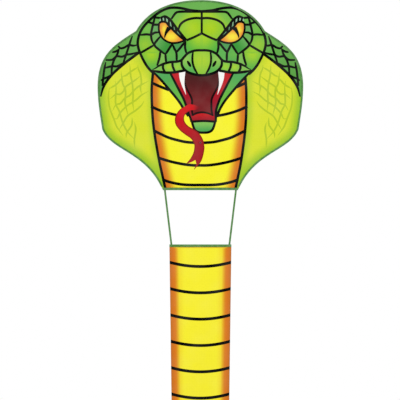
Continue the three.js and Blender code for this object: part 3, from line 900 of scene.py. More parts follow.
def paint_plates(art):
    """The green plates of the face, before their black outlines."""
    art.drawn_at(lambda z: np.full_like(z, FACE_SWAY))
    # Outlines and colours, the whole face first; each one covers what lies below it.
    plates = [
        (np.vstack([smooth(HEAD_LINE), smooth(LOWER_LIP), smooth(NOSE_LINE)[4:]]),
         along((80, 80), (110, -100), CROWN_GREEN, SCALE_GREEN)),
        ([(0, 67), (75, 65), (91, 45), (81, 25), (64, 3), (46, -19), (0, 2)], LEAF),
        ([(0, 67), (75, 65), (91, 45), (81, 25), (70, 13), (48, 41), (16, 48), (0, 47)],
         along((70, 62), (40, 34), (120, 190, 74), LIME)),
        (np.vstack([smooth(ARCH), [(0, 2), (46, -19), (64, 3)]]),
         radial((26, 18), 52, (176, 214, 36), (138, 200, 58))),
        ([(0, 2), (46, -19), (50, -40), (46, -58), (26, -51), (0, -49)],
         radial((6, -10), 58, (168, 213, 38), (84, 180, 66))),
        ([(0, -49), (26, -51), (28, -70), (27, -87), (22, -103), (12, -121), (0, -124)],
         radial((2, -78), 50, (176, 214, 58), (140, 200, 62))),
        ([(26, -51), (42, -58), (52, -68), (62, -79), (60, -92), (54, -104), (42, -114), (12, -122),
          (22, -103), (27, -87), (28, -70)], radial((46, -76), 40, (146, 202, 88), (92, 178, 84))),
        ([(50, -22), (54, -28), (76, -55), (75, -82), (62, -79), (46, -58)], (96, 180, 84)),
        ([(54, -28), (76, -55), (88, -32), (72, -26)], (78, 158, 84)),
        ([(125, -8), (135, -20), (141, -32), (127, -48), (109, -61), (89, -32), (103, -24), (115, -16)],
         along((136, -20), (104, -44), (106, 176, 92), SHADE_GREEN)),
        ([(109, -61), (89, -32), (76, -55), (75, -82), (93, -84), (107, -82)],
         radial((94, -60), 34, (104, 184, 76), (84, 168, 84))),
        ([(109, -61), (124, -54), (127, -72), (133, -93), (113, -89), (107, -82)], PALE_GREEN),
        ([(143, -34), (184, -58), (176, -78), (154, -109), (133, -93), (127, -72), (124, -50)],
         radial((152, -60), 46, (170, 214, 44), (96, 180, 72))),
        ([(188, -4), (192, -24), (184, -58), (143, -34), (150, -18), (153, 0)],
         radial((170, -32), 42, (152, 202, 52), (104, 184, 70))),
        ([(162, 37), (146, 32), (149, 21), (153, 0), (188, -3), (178, 17)],
         radial((164, 16), 34, (118, 192, 74), (92, 172, 70))),
        ([(152, 0), (141, 4), (129, 5), (125, -8), (135, -20), (143, -32), (150, -18)], (112, 178, 88)),
        ([(146, 32), (128, 32), (129, 5), (152, 0), (149, 21)], (104, 172, 96)),
        ([(148, -106), (129, -96), (113, -89), (93, -84), (75, -83), (62, -79), (60, -92), (50, -109),
          (66, -112), (83, -115), (103, -116), (125, -114)], (132, 192, 84)),
        ([(116, -92), (88, -84), (83, -98), (84, -114), (111, -115)],
         radial((99, -99), 18, (172, 214, 52), (132, 196, 80))),
        ([(88, -84), (62, -80), (60, -92), (54, -106), (66, -112), (81, -114)],
         radial((72, -98), 18, (160, 212, 56), (124, 196, 84))),
        (np.vstack([smooth(BROW_TOP), smooth(EYE_TOP)[::-1]]),
         along((120, 50), (50, -18), BROW_PALE, (96, 150, 112))),
    ]
    for points, shade in plates:
        art.fill(points, shade)


PUPIL = [(104, 22), (111, 6), (113, -7), (111.5, -14), (105.5, -1), (98, 9), (92, 14), (97, 20)]


def paint_eyes(art):
    """Slanted eyes: orange at their ends, yellow in the middle, with a slit pupil."""
    shape = np.vstack([smooth(EYE_TOP), smooth(EYE_FOOT)[::-1]])

    def colour(points):
        ends = np.minimum(
            np.linalg.norm((points - (92, -8)) / (24, 17), axis=1),
            np.linalg.norm((points - (112, 14)) / (9, 18), axis=1),
        )
        return mixed(EYE_YELLOW, EYE_ORANGE, smoothstep((ends - 0.3) / 1.0))

    art.fill(shape, colour)
    art.fill(PUPIL, BLACK)


NOSTRIL_AT = (38.0, -89.5)
NOSTRIL_HALF_SIZES = (10.8, 4.3)
NOSTRIL_TURN = math.radians(60)
NOSTRIL_AXES = [
    (math.cos(NOSTRIL_TURN), math.sin(NOSTRIL_TURN)),
    (-math.sin(NOSTRIL_TURN), math.cos(NOSTRIL_TURN)),
]
NOSTRIL = circle(0, 0, 1, 20) * NOSTRIL_HALF_SIZES @ NOSTRIL_AXES + NOSTRIL_AT


def paint_face_lines(art):
    """The black outlines of the face."""
    art.line(HEAD_LINE, 6.0, ends=(1, 1))
    art.line(TOP_PLATE, 5.4, ends=(1, 0.8))
    art.line([(0, 68), (0, 1)], 4.6, sides=MIDDLE, ends=(1, 1))
    art.line(ARCH, 5.4, ends=(0.8, 1))
    art.lines([[(46, -19), (22, -9), (0, 2)]], ends=(1, 1))
    art.line(BROW_TOP, 5.8, ends=(0.8, 1))
    art.line(EYE_TOP, 5.0, ends=(1, 1))
    art.line(EYE_FOOT, 4.2, ends=(1, 1))
    for upper, lower in (((111, 53), (109, 37)), ((99, 47), (98, 27)), ((90, 38), (86, 14)),
                         ((79, 23), (76, 4)), ((121, 51), (119, 37))):
        art.line([upper, lower], 4.2, ends=(1, 1))
    art.lines([
        [(139, 56), (143, 41), (148, 21), (152, 0), (150, -18), (143, -33)],
        [(163, 37), (146, 31)], [(147, 28), (129, 28)], [(143, 50), (125, 48)],
        [(184, -3), (166, -1), (152, -2), (141, 4), (128, 5)],
        [(143, -33), (165, -46), (186, -58)],
        [(124, -7), (135, -20), (142, -33), (127, -48), (109, -61)],
        [(109, -61), (99, -46), (89, -30)],
        [(88, -30), (82, -44), (76, -57), (75, -83)],
        [(76, -55), (64, -41), (52, -25)],
        [(49, -20), (50, -40), (46, -58)],
        [(109, -61), (107, -84)],
        [(124, -51), (127, -72), (134, -95)],
    ])
    art.line(UPPER_LIP, 5.6, ends=(0.3, 1))
    art.line(LOWER_LIP, 6.2, ends=(0.3, 1))
    art.line(NOSE_LINE, 6.0, ends=(0.8, 1))
    art.line(ROSTRAL_LINE, 4.6)
    art.lines([[(116, -91), (116, -103), (110, -115)], [(88, -84), (87, -97), (80, -114)]], ends=(1, 1))
    art.fill(NOSTRIL, BLACK)


def head_artwork():
    art = Artwork()
    paint_hood(art)
    paint_shoulders(art)
    paint_belly(art)
    paint_jaw(art)
    paint_tongue(art)
    paint_plates(art)
    paint_eyes(art)
    paint_face_lines(art)
    return art


# ---------------- head cloth

BILLOW = 2.4
GRID = 9.0  # between the points inside the cloth that let it bend
EDGE_RISE = 90  # the distance from the edge over which it fills
SPINE_FLAT = 14
SPINE_RISE = 80
SPAR_FLAT = 10
SPAR_RISE = 45
POCKETS_FROM = 190  # from the middle line, where it turns flat towards the spars' pockets
POCKETS_FALL = 55


def head_place(points):
    """The sail's places in space: held at its edge, along the spine and near the spars' pockets."""
    folded = folded_over(points)
    depth = BILLOW * smoothstep(distance_to(OUTLINE, folded) / EDGE_RISE)
    depth *= smoothstep((folded[:, 0] - SPINE_FLAT) / SPINE_RISE)
    near_pocket = smoothstep((folded[:, 0] - POCKETS_FROM) / POCKETS_FALL)
    for _, level in SPARS:
        clear = smoothstep((np.abs(points[:, 1] - level) - SPAR_FLAT) / SPAR_RISE)
        depth *= 1 - (1 - clear) * near_pocket
    return at_depth(points, depth), np.tile((0.0, 1.0, 0.0), (len(points), 1))


def grid_inside(outline, spacing):
    low = outline.min(axis=0)
    high = outline.max(axis=0)
    columns = np.arange(low[0] + spacing / 2, high[0], spacing)
    rows = np.arange(low[1] + spacing / 2, high[1], spacing * 0.87)
    points = np.array([(x + spacing / 2 * (i % 2), z) for i, z in enumerate(rows) for x in columns])
    return points[covers(outline, points)]


def make_head_sail():
    outline = head_cloth_outline()
    holes = [circle(0, z, 2.3) for z in EYELET_LEVELS]
    art = head_artwork()
    loops = [outline, *holes, *(shape[0] for shape in art.shapes[1:])]
    points, triangles = triangulated(loops, [], grid_inside(outline, GRID), outline, holes)
    colours = art.colours(points, triangles)
    made = cloth_object("head_cloth", points, triangles, colours, head_place, HEAD_CLOTH)
    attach(made, "head")
    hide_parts("head_sail")


make_head_sail()

# ---------------- folded tapes and hems

# Half of a folded tape's section: (distance in from the edge, depth in front of the middle).
TAPE_OUTER = [(5.5, 0.95), (3.4, 1.1), (1.3, 1.05), (0.3, 0.7)]
TAPE_INNER = [(5.5, 0.45), (3.4, 0.5), (1.5, 0.45), (0.9, 0.3)]
HEM_OUTER = [(7.5, 0.95), (4.6, 1.1), (3.5, 1.55), (1.9, 1.85), (0.6, 1.35)]
HEM_INNER = [(7.5, 0.45), (4.5, 0.55), (3.4, 1.05), (1.9, 1.32), (1.0, 0.9)]
TAPE_GAP = 0.3  # between the two edge tapes, where they meet at the crown


def folded_section(outer, inner):
    """A closed section of tape folded over an edge, as (distance in, depth) pairs."""
    nose = inner[-1][0] - 0.35
    outside = [(d, -y) for d, y in outer] + [(0, 0)] + outer[::-1]
    return outside + inner + [(nose, 0)] + [(d, -y) for d, y in inner[::-1]]


def make_tape(name, body, node, edge, ways, section, seam_in, seam_depth, short=0):
    """A tape folded over an edge; ways are the edge's directions inwards.

    It is sewn through both faces, and the seams stop short of its ends by a number of the edge's points.
    """
    tape = swept([[(x + way_x * d, y, z + way_z * d) for d, y in section]
                  for (x, z), (way_x, way_z) in zip(edge, ways)])
    line = (edge + ways * seam_in)[short:len(edge) - short]
    seam = joined([stitch_row(at_depth(line, face * seam_depth), (0, face, 0)) for face in BOTH])
    piece(name, body, "green_tape", node, (tape, TAPE_GREEN), (seam, THREAD_GREEN))


def make_edge_bindings():
    edge = OUTLINE[OUTLINE[:, 1] > HEM_TOP_Z]
    edge[0][0] = TAPE_GAP / 2
    ways = inward(OUTLINE)[: len(edge)]
    section = folded_section(TAPE_OUTER, TAPE_INNER)
    for side, name in SIDES:
        make_tape(f"edge_tape_{name}", "head", f"edge_binding_{name}", edge * (side, 1), ways * (side, 1),
                  section, 4.1, 1.08)


def make_hem(name, body, node, half_length, edge_z, up):
    edge = np.stack([np.linspace(-half_length, half_length, 60), np.full(60, edge_z)], axis=1)
    make_tape(name, body, node, edge, np.tile((0.0, up), (60, 1)), folded_section(HEM_OUTER, HEM_INNER),
              5.9, 1.06, short=1)


make_edge_bindings()
make_hem("head_hem", "head", "head_bottom_hem", HEM_HALF_LENGTH, HEAD_FOOT_Z, 1)
make_hem("tail_header", "tail_top", "tail_header_hem", HEADER_HIGH[0], HEADER_TOP_Z, -1)

# ---------------- rods, caps and battens


def turned_rings(profile, start, axis, count=24):
    """Rings of a turned shape: profile pairs are (radius, distance along the axis)."""
    axis = np.asarray(axis, float)
    side = np.cross(axis, (0.3, 1.0, 0.2))
    side /= np.linalg.norm(side)
    around = circle(0, 0, 1, count) @ [side, np.cross(axis, side)]
    return [start + axis * t + around * max(r, 0.02) for r, t in profile]


ROD_EDGE = 0.3


def make_straight_rod(name, body, node, axis):
    """A straight rod with softened ends."""
    low, high = box_mm(node)
    length = (high - low) @ axis
    radius = (high - low)[1] / 2
    profile = [(radius - ROD_EDGE, 0), (radius, ROD_EDGE), (radius, length / 2), (radius, length - ROD_EDGE),
               (radius - ROD_EDGE, length)]
    start = (low + high - length * np.array(axis)) / 2
    piece(name, body, "rod", node, (swept(turned_rings(profile, start, axis)), ROD))


def make_spar(where, level):
    """A rod across the hood, bowed back where it crosses the spine."""
    low, high = box_mm(f"{where}_spar")
    radius = (high - low)[2] / 2
    half = high[0]
    tip = low[1] + radius
    bow = high[1] - radius - tip
    rings = []
    for x in np.linspace(-half, half, 72):
        depth = tip + bow * (1 + math.cos(math.pi * x / half)) / 2
        size = radius - (ROD_EDGE if abs(x) == half else 0)
        rings.append([(x, y, z) for y, z in circle(depth, level, size, 20)])
    piece(f"{where}_spar_rod", "head", "rod", f"{where}_spar", (swept(rings), ROD))


CAP_WALL = 0.7
CAP_RIDGES = 4
CAP_RIDGE_PITCH = 2.2
CAP_GROOVE = 0.28
CAP_DOME = 1.2


def make_cap(name, node, axis):
    """A vinyl end cap: open at its mouth, ridged for grip, with a domed end."""
    low, high = box_mm(node)
    axis = np.array(axis, float)
    length = abs((high - low) @ axis)
    radius = (high - low)[1] / 2
    bore = radius - CAP_WALL
    profile = [(0, length - 1.5), (bore, length - 1.5), (bore, 0.2), (radius - 0.25, 0), (radius, 0.35)]
    for ridge in range(CAP_RIDGES):
        t = 1.6 + CAP_RIDGE_PITCH * ridge
        groove = radius - CAP_GROOVE
        profile += [(radius, t), (groove, t + 0.4), (groove, t + 1.0), (radius, t + 1.4)]
    profile += [(radius - CAP_DOME + CAP_DOME * math.cos(turn), length - CAP_DOME + CAP_DOME * math.sin(turn))
                for turn in np.linspace(0, math.pi / 2, 5)]
    profile.append((0, length))
    rings = turned_rings(profile, (low + high - axis * length) / 2, axis, 28)
    piece(name, "head", "vinyl", node, (swept(rings), VINYL))


make_straight_rod("spine", "head", "spine_rod", (0, 0, 1))
make_straight_rod("head_batten", "head", "head_hem_batten", (1, 0, 0))
make_straight_rod("header_batten", "tail_top", "tail_header_batten", (1, 0, 0))
for spar_name, spar_z in SPARS:
    make_spar(spar_name, spar_z)
    for cap_side, side_name in SIDES:
        make_cap(f"{spar_name}_cap_{side_name}", f"{spar_name}_spar_cap_{side_name}", (cap_side, 0, 0))
make_cap("top_cap", "spine_cap_top", (0, 0, 1))
make_cap("foot_cap", "spine_cap_foot", (0, 0, -1))

# ---------------- pockets and sleeves

TUNNEL_WALL = 0.6
FLANGE = 5.0
FLANGE_SEAMS = (1.9, 3.9)  # from the tunnel's foot
BAR_TACK_FROM_END = 2.2
# A closed end is sewn flat: shares of the tunnel's length, and of its height there.
CLOSED_END = ((1.0, 0.12), (0.985, 0.45), (0.95, 0.8), (0.88, 0.97), (0.8, 1.0))


def tunnel_loop(radius, middle, foot):
    """A section as (across, depth) pairs: an arch that stands on its left foot and the foot's mirror."""
    arch = [(-radius * math.cos(turn), middle + radius * math.sin(turn))
            for turn in np.linspace(0, math.pi, 13)]
    return foot + arch + [(-across, depth) for across, depth in foot[::-1]]


def make_tunnel(name, node, axis, closed_end):
    """A sewn tunnel of webbing over a CAD node's box, with a flange on either side."""
    low, high = box_mm(node)
    axis = np.array(axis, float)
    across_way = np.cross(axis, (0, 1, 0))
    length = abs((high - low) @ axis)
    half_width = abs((high - low) @ across_way) / 2
    radius = half_width - FLANGE
    middle = high[1] - radius - low[1]
    start = (low + high) / 2 - axis * length / 2
    start[1] = low[1]

    def place(across, depth, t):
        return start + across_way * across + (0, depth, 0) + axis * t

    def ring(loop, t):
        return [place(across, depth, t) for across, depth in loop]

    wall = TUNNEL_WALL
    bore = radius - wall
    outer = tunnel_loop(radius, middle, [
        (-half_width, 0.1), (-half_width, wall * 0.8), (-radius - 1.0, wall), (-radius - 0.2, wall + 0.7),
    ])
    inner = tunnel_loop(bore, middle, [
        (-bore * 0.6, wall), (-bore * 0.9, wall + 0.02), (-bore, wall + 0.2),
        (-bore, wall + (middle - wall) * 0.6),
    ])
    if closed_end:
        rings = [ring([(x, min(y, wall) + max(y - wall, 0) * squeeze) for x, y in outer], length * share)
                 for share, squeeze in CLOSED_END]
    else:
        rings = [ring(outer, length), ring(outer, length * 0.9)]
    rings += [ring(outer, t) for t in (length * 0.5, length * 0.06, 0.3, 0)]
    rings += [ring(inner, t) for t in (0, 0.5, length * (0.7 if closed_end else 0.5))]
    if not closed_end:
        rings += [ring(inner, length - 0.5), ring(inner, length)]
    lines = [[place(side * (radius + offset), wall, t) for t in np.linspace(1.5, length - 1.5, 8)]
             for side in BOTH for offset in FLANGE_SEAMS]
    lines.append([place(across, wall + 0.1, length - BAR_TACK_FROM_END)
                  for across in np.linspace(-half_width + 1, -radius - 1, 4)])
    seams = joined([stitch_row(line, (0, 1, 0)) for line in lines])
    piece(name, "head", "webbing", node, (swept(rings, looped=not closed_end), WEBBING), (seams, THREAD_DARK))


make_tunnel("top_pocket", "spine_pocket_top", (0, 0, 1), True)
make_tunnel("foot_pocket", "spine_pocket_foot", (0, 0, -1), True)
for sleeve_number in range(1, 5):
    make_tunnel(f"sleeve_{sleeve_number}", f"spine_sleeve_{sleeve_number}", (0, 0, 1), False)
for spar_name, _ in SPARS:
    for pocket_side, side_name in SIDES:
        make_tunnel(f"{spar_name}_pocket_{side_name}", f"{spar_name}_spar_pocket_{side_name}",
                    (pocket_side, 0, 0), True)

# ---------------- cross joiners


def rounded_block(low, high, edge):
    """A box with bevelled edges."""
    mesh = bmesh.new()
    bmesh.ops.create_cube(mesh, size=1)
    for vertex in mesh.verts:
        vertex.co = Vector([(low[i] + high[i]) / 2 + vertex.co[i] * (high[i] - low[i]) for i in range(3)])
    bmesh.ops.bevel(mesh, geom=mesh.edges[:], offset=edge, segments=3, profile=0.5, affect="EDGES")
    mesh.verts.index_update()
    vertices = np.array([tuple(v.co) for v in mesh.verts])
    faces = [[v.index for v in face.verts] for face in mesh.faces]
    mesh.free()
    return vertices, faces


BLOCK_HALF_SIZE = 9
SOCKET_PLAY = 0.3
SOCKET_WALL = 1.4
SOCKET_LIP = 0.35


def socket_tube(centre, axis, reach, rod_radius):
    """A tube round a rod, with a rolled lip at each mouth."""
    bore = rod_radius + SOCKET_PLAY
    outer = bore + SOCKET_WALL
    lip = outer + SOCKET_LIP
    mouth = [(bore, 0), (outer, 0.3), (lip, 1.0), (lip, 2.4), (outer, 3.2)]
    far_mouth = [(r, 2 * reach - t) for r, t in mouth[::-1]]
    profile = mouth + [(outer, reach)] + far_mouth + [(bore, reach)]
    return swept(turned_rings(profile, np.array(centre) - np.array(axis) * reach, axis, 32), looped=True)


def make_joiner(where, level):
    low, high = box_mm(f"{where}_cross_joiner")
    spine_low, spine_high = box_mm("spine_rod")
    spar_low, spar_high = box_mm(f"{where}_spar")
    spine_radius = (spine_high - spine_low)[1] / 2
    spar_radius = (spar_high - spar_low)[2] / 2
    reach = (high - low)[0] / 2
    back = high[1]
    half = BLOCK_HALF_SIZE
    block = rounded_block((-half, low[1] + 0.6, level - half), (half, back, level + half), 1.6)
    upright = socket_tube((0, spine_high[1] - spine_radius, level), (0, 0, 1), reach, spine_radius)
    crossing = socket_tube((0, spar_high[1] - spar_radius, level), (1, 0, 0), reach, spar_radius)
    ribs = [rounded_block((x - 0.6, back - 0.1, level - 7), (x + 0.6, back + 0.5, level + 7), 0.25)
            for x in (-5, 0, 5)]
    body = joined([block, upright, crossing, *ribs])
    piece(f"{where}_joiner", "head", "vinyl", f"{where}_cross_joiner", (body, VINYL))


for spar_name, spar_z in SPARS:
    make_joiner(spar_name, spar_z)

# ---------------- bridle eyelets and patches


EYELET_BORE = 1.6
EYELET_ROLL = 0.55
NECK_WALL = 0.5
PATCH_GAP = 0.7


def rolled_lip(rim, depth, out, start, end):
    """Half a turn of a lip as (radius, depth) pairs, bulging in front (out -1) or behind (out 1)."""
    middle, half = (rim + EYELET_BORE) / 2, (rim - EYELET_BORE) / 2
    return [(middle + half * math.cos(turn), depth + out * EYELET_ROLL * math.sin(turn))
            for turn in np.linspace(start, end, 7)]


def make_eyelet(where, level, enamel):
    """A rolled metal eyelet through the cloth, and the patch sewn behind it."""
    node = f"{where}_bridle_eyelet"
    (_, front, _), (rim, back, _) = box_mm(node)
    neck = EYELET_BORE + NECK_WALL
    profile = [
        (EYELET_BORE, front + 0.9),
        *rolled_lip(rim, front + EYELET_ROLL, -1, math.pi, 0),
        (rim - 0.1, front + 0.7), (neck, front + 0.75), (neck, back - 0.75), (rim - 0.1, back - 0.7),
        *rolled_lip(rim, back - EYELET_ROLL, 1, 0, math.pi),
    ]
    lips = swept(turned_rings(profile, (0, 0, level), (0, 1, 0), 36), looped=True)
    piece(f"{where}_eyelet", "head", "eyelet", node, (lips, enamel))

    node = f"{where}_bridle_patch"
    (_, front, _), (radius, back, _) = box_mm(node)
    hole = EYELET_BORE + PATCH_GAP
    profile = [(hole, front), (radius, front), (radius, back - 0.15), (radius - 0.5, back), (hole, back)]
    patch = swept(turned_rings(profile, (0, 0, level), (0, 1, 0), 48), looped=True)
    seams = []
    for seam_radius in (radius - 1.8, hole + 3.2):
        ring = circle(0, level, seam_radius, 60)
        seams.append(stitch_row(at_depth(np.vstack([ring, ring[:1]]), back), (0, 1, 0)))
    piece(f"{where}_patch", "head", "webbing", node, (patch, WEBBING), (joined(seams), THREAD_DARK))


make_eyelet("upper", EYELET_LEVELS[0], ENAMEL)
make_eyelet("lower", EYELET_LEVELS[1], TONGUE_ENAMEL)

# ---------------- vent straps

STRAP_BEHIND = 2.6
STRAP_WIDTH = 5.7
STRAP_THICKNESS = 0.9
STRAP_CORNER = 0.25
STRAP_BEND = 9.0  # the length over which it passes from behind a hem to level with it
STRAP_BEND_START = 1.6  # STRAP_BEND_START = 1.6 # how far from a hem's edge, inside the hem, each half's bend level lies
STRAP_TOP_INSET = 6.7  # from the end of the head's hem
STRAP_FOOT_INSET = 5.8  # from the end of the tail's header
STRAP_TOP_LAP = 7.5
STRAP_FOOT_LAP = 7.0
STRAP_SEAM = 1.9


def strap_section():
    """Half the strap's section, along its front; the other half is the same, turned round."""
    a, b, c = STRAP_WIDTH / 2, STRAP_THICKNESS / 2, STRAP_CORNER
    front = np.array([(-a, -b + c), (-a + c, -b), (0, -b - 0.05), (a - c, -b), (a, -b + c)])
    return np.vstack([front, -front])


def make_strap(side, where):
    """A webbing strap in two halves, each bending at the hem that it is sewn behind."""
    node = f"vent_strap_{where}"
    low, high = box_mm(node)
    ends_x = [side * (HEADER_HIGH[0] - STRAP_FOOT_INSET), side * (HEM_HALF_LENGTH - STRAP_TOP_INSET)]
    split_z = (high[2] + low[2]) / 2

    def middle(z):
        below_head = (HEAD_FOOT_Z - z) / STRAP_BEND
        above_tail = (z - HEADER_TOP_Z) / STRAP_BEND
        behind = smoothstep(1 - below_head) + smoothstep(1 - above_tail)
        return np.array((np.interp(z, [low[2], high[2]], ends_x), STRAP_BEHIND * behind, z))

    head_bend = HEAD_FOOT_Z + STRAP_BEND_START
    tail_bend = HEADER_TOP_Z - STRAP_BEND_START
    halves = (
        ("upper", high[2] + STRAP_TOP_LAP, split_z, "head", "straps", head_bend, head_bend - STRAP_BEND),
        ("lower", split_z, low[2] - STRAP_FOOT_LAP, "straps", "tail_top", tail_bend + STRAP_BEND, tail_bend),
    )
    for half, start, end, first, second, blend_from, blend_to in halves:
        levels = np.linspace(start, end, 64)
        tube = swept([middle(z) + [(x, y, 0) for x, y in strap_section()] for z in levels])
        line = np.array([middle(z) for z in levels[1:-1]])
        rows = [stitch_row(line + (x, face * STRAP_THICKNESS / 2, 0), (0, face, 0))
                for x in (-STRAP_SEAM, STRAP_SEAM) for face in BOTH]
        made = piece(f"vent_strap_{where}_{half}", None, "green_tape", node,
                     (tube, TAPE_GREEN), (joined(rows), THREAD_GREEN))
        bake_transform(made)


for strap_side, strap_name in SIDES:
    make_strap(strap_side, strap_name)

# ---------------- tail cloth

FOLD_HINGE_Z = (box_mm("tail_section_4")[0][2] + FOLD_HIGH[2]) / 2
TAIL_ARC_PITCH = 79
TAIL_ARC_FIRST = 66.3  # header's upper edge to the lowest point of the first arc
TAIL_ARC_SAG = 12.6
TAIL_ARC_WIDTH = 7.2
TAIL_ARC_OVERHANG = 3.0  # how far the first arc is drawn past the cloth's edge
TAIL_ARC_NARROWING = 0.963  # by which each arc's half is shorter than the one above
TAIL_EDGE_FADE = 8
TAIL_SIDE = 12
TAIL_FADE = 21
TAIL_CUT_ARCS = (0, 2, 3, 5)  # the black arcs along which the tail's pieces meet

BAND_MIDDLE_Z = (BAND_LOW[2] + BAND_HIGH[2]) / 2
STACK_MIDDLE_Y = (FOLD_LOW[1] + FOLD_HIGH[1]) / 2
STACK_LAYERS = 30
STACK_PITCH = (FOLD_HIGH[1] - FOLD_LOW[1] - 0.6) / (STACK_LAYERS - 1)
STACK_SPLAY = 0.2  # how much further apart the layers are at the stack's top than at the band
STACK_TOP_Z = FOLD_HIGH[2] - 7.5
STACK_FOOT_Z = FOLD_LOW[2] + 2.5
STACK_WANDER = 1.6  # how unevenly the folds end
SLOPE_TOP_Z = FOLD_HINGE_Z + 12
PATH_LEAD = 20.0  # how far the path starts above the header, so that it covers all of the cloth


def tail_half_width(flat_z):
    share = (HEADER_TOP_Z - flat_z) / TAIL_LENGTH
    return (TAIL_TOP_WIDTH + (TAIL_END_WIDTH - TAIL_TOP_WIDTH) * share) / 2


def layer_depth(layer, z):
    """Depth of a folded layer: pinched by the band, splayed towards the ends."""
    spread = 1 + STACK_SPLAY * ((z - BAND_MIDDLE_Z) / (FOLD_HIGH[2] - BAND_MIDDLE_Z)) ** 2
    return STACK_MIDDLE_Y + (layer - (STACK_LAYERS - 1) / 2) * STACK_PITCH * spread


def layer_end(layer):
    """Where a layer turns into the next: at the foot after an even layer, at the top after an odd one."""
    wander = STACK_WANDER * math.sin(2.4 * layer + 0.7)
    return STACK_FOOT_Z + wander if layer % 2 == 0 else STACK_TOP_Z - abs(wander)


def tail_path():
    """The tail's side view as rows of (depth, height): hanging, over the slope, then to and fro."""
    rows = [(0.0, HEADER_TOP_Z + PATH_LEAD), (0.0, SLOPE_TOP_Z)]
    shares = np.linspace(0, 1, 9)[1:]
    for share in shares:
        z = SLOPE_TOP_Z + (STACK_TOP_Z - 3 - SLOPE_TOP_Z) * share
        rows.append((layer_depth(0, z) * float(smoothstep(share)), z))
    for layer in range(STACK_LAYERS):
        start = rows[-1][1]
        end = layer_end(layer)
        levels = start + (end - start) * shares
        rows += [(layer_depth(layer, z), z) for z in levels]
        if layer < STACK_LAYERS - 1:
            here = layer_depth(layer, end)
            radius = (layer_depth(layer + 1, end) - here) / 2
            outward = -1 if layer % 2 == 0 else 1
            rows += [(here + radius * (1 - math.cos(turn)), end + outward * radius * math.sin(turn))
                     for turn in np.linspace(0, math.pi, 6)[1:]]
    return np.array(rows)


PATH = tail_path()
PATH_FLAT_Z = HEADER_TOP_Z + PATH_LEAD - lengths_along(PATH)
PATH_BACK = turned(directions(PATH))
RIPPLE = 1.3
RIPPLE_FADE = 60


def tail_place(points):
    """The tail's places in space, from its places on the flat cloth."""
    x, flat_z = points.T
    y, z, back_y, back_z = sampled(np.hstack([PATH, PATH_BACK]), -PATH_FLAT_Z, -flat_z).T
    hanging = smoothstep((HEADER_FOOT_Z - flat_z) / RIPPLE_FADE)
    hanging = hanging * smoothstep((flat_z - SLOPE_TOP_Z) / RIPPLE_FADE)
    across = x / tail_half_width(flat_z)
    wave = np.sin(2.6 * across + flat_z / 60) + 0.6 * np.cos(5.1 * across - flat_z / 95)
    back = np.stack([np.zeros(len(points)), back_y, back_z], axis=1)
    return np.stack([x, y + RIPPLE * hanging * wave, z], axis=1), unit(back)


TAIL_FOOT_FLAT = HEADER_TOP_Z - TAIL_LENGTH
TIP = 42  # the length over which the tail's end is rounded
TAIL_CLOTH_TOP = HEADER_FOOT_Z + 3
EDGE_COLUMNS = (0, 4, 10, 16, 22, 28)  # of mesh points, as distances in from the edge
MIDDLE_COLUMNS = (12, 24, 36, 48)  # as distances from the middle line
ROW_PITCH = 8.0


def tail_outline():
    shoulder = TAIL_FOOT_FLAT + TIP
    low = tail_half_width(shoulder)
    right = np.array([
        (tail_half_width(TAIL_CLOTH_TOP), TAIL_CLOTH_TOP), (low, shoulder),
        (low * 0.8, shoulder - TIP * 0.55), (low * 0.35, shoulder - TIP * 0.9), (0, TAIL_FOOT_FLAT),
    ])
    return np.vstack([right, (right * (-1, 1))[::-1][1:]])


def arc_height(number, xs):
    """The height of a printed arc's middle, on the flat cloth."""
    level = HEADER_TOP_Z - TAIL_ARC_FIRST - TAIL_ARC_PITCH * number
    return level + TAIL_ARC_SAG * (xs / tail_half_width(level)) ** 2


def tail_arc(number):
    half = TAIL_TOP_WIDTH / 2 + TAIL_ARC_OVERHANG - TAIL_ARC_NARROWING * number
    xs = np.linspace(-half, half, 17)
    return np.stack([xs, arc_height(number, xs)], axis=1)


def tail_artwork():
    art = Artwork()

    def colour(points):
        inside = tail_half_width(points[:, 1]) - np.abs(points[:, 0])
        orange = mixed(TAIL_EDGE, TAIL_ORANGE, smoothstep((inside - 1) / TAIL_EDGE_FADE))
        return mixed(orange, TAIL_YELLOW, smoothstep((inside - TAIL_SIDE) / TAIL_FADE))

    art.fill([(-200, 0), (200, 0), (200, -6000), (-200, -6000)], colour, MIDDLE)
    for number in range(int((TAIL_LENGTH - TIP - TAIL_ARC_FIRST) / TAIL_ARC_PITCH)):
        art.fill(ribbon(tail_arc(number), TAIL_ARC_WIDTH + INK_SPREAD, (1, 1)), BLACK, MIDDLE)
    return art


def tail_row(flat_z, extra=()):
    """Points straight across the tail."""
    half = tail_half_width(flat_z)
    xs = {half + 4, *(half - inset for inset in EDGE_COLUMNS if inset < half), *extra}
    xs = sorted({round(side * x, 3) for x in xs for side in BOTH} | {0.0})
    return np.array([(x, flat_z) for x in xs])


def tail_sheet():
    """The flat tail: its points, triangles and colours, and the number of each triangle's piece."""
    outline = tail_outline()
    art = tail_artwork()
    levels = np.arange(TAIL_CLOTH_TOP - ROW_PITCH, SLOPE_TOP_Z, -ROW_PITCH)
    rows = [tail_row(z, MIDDLE_COLUMNS) for z in levels]
    rows += [tail_row(z) for z in PATH_FLAT_Z[1:] if z > TAIL_FOOT_FLAT]
    cuts = [tail_arc(number) for number in TAIL_CUT_ARCS]
    loops = [outline, *(shape[0] for shape in art.shapes[1:])]
    points, triangles = triangulated(loops, rows + cuts, np.zeros((0, 2)), outline, [])
    x, z = points[triangles].mean(axis=1).T
    piece_number = sum((z < np.interp(x, *cut.T)).astype(int) for cut in cuts)
    return points, triangles, art.colours(points, triangles), piece_number


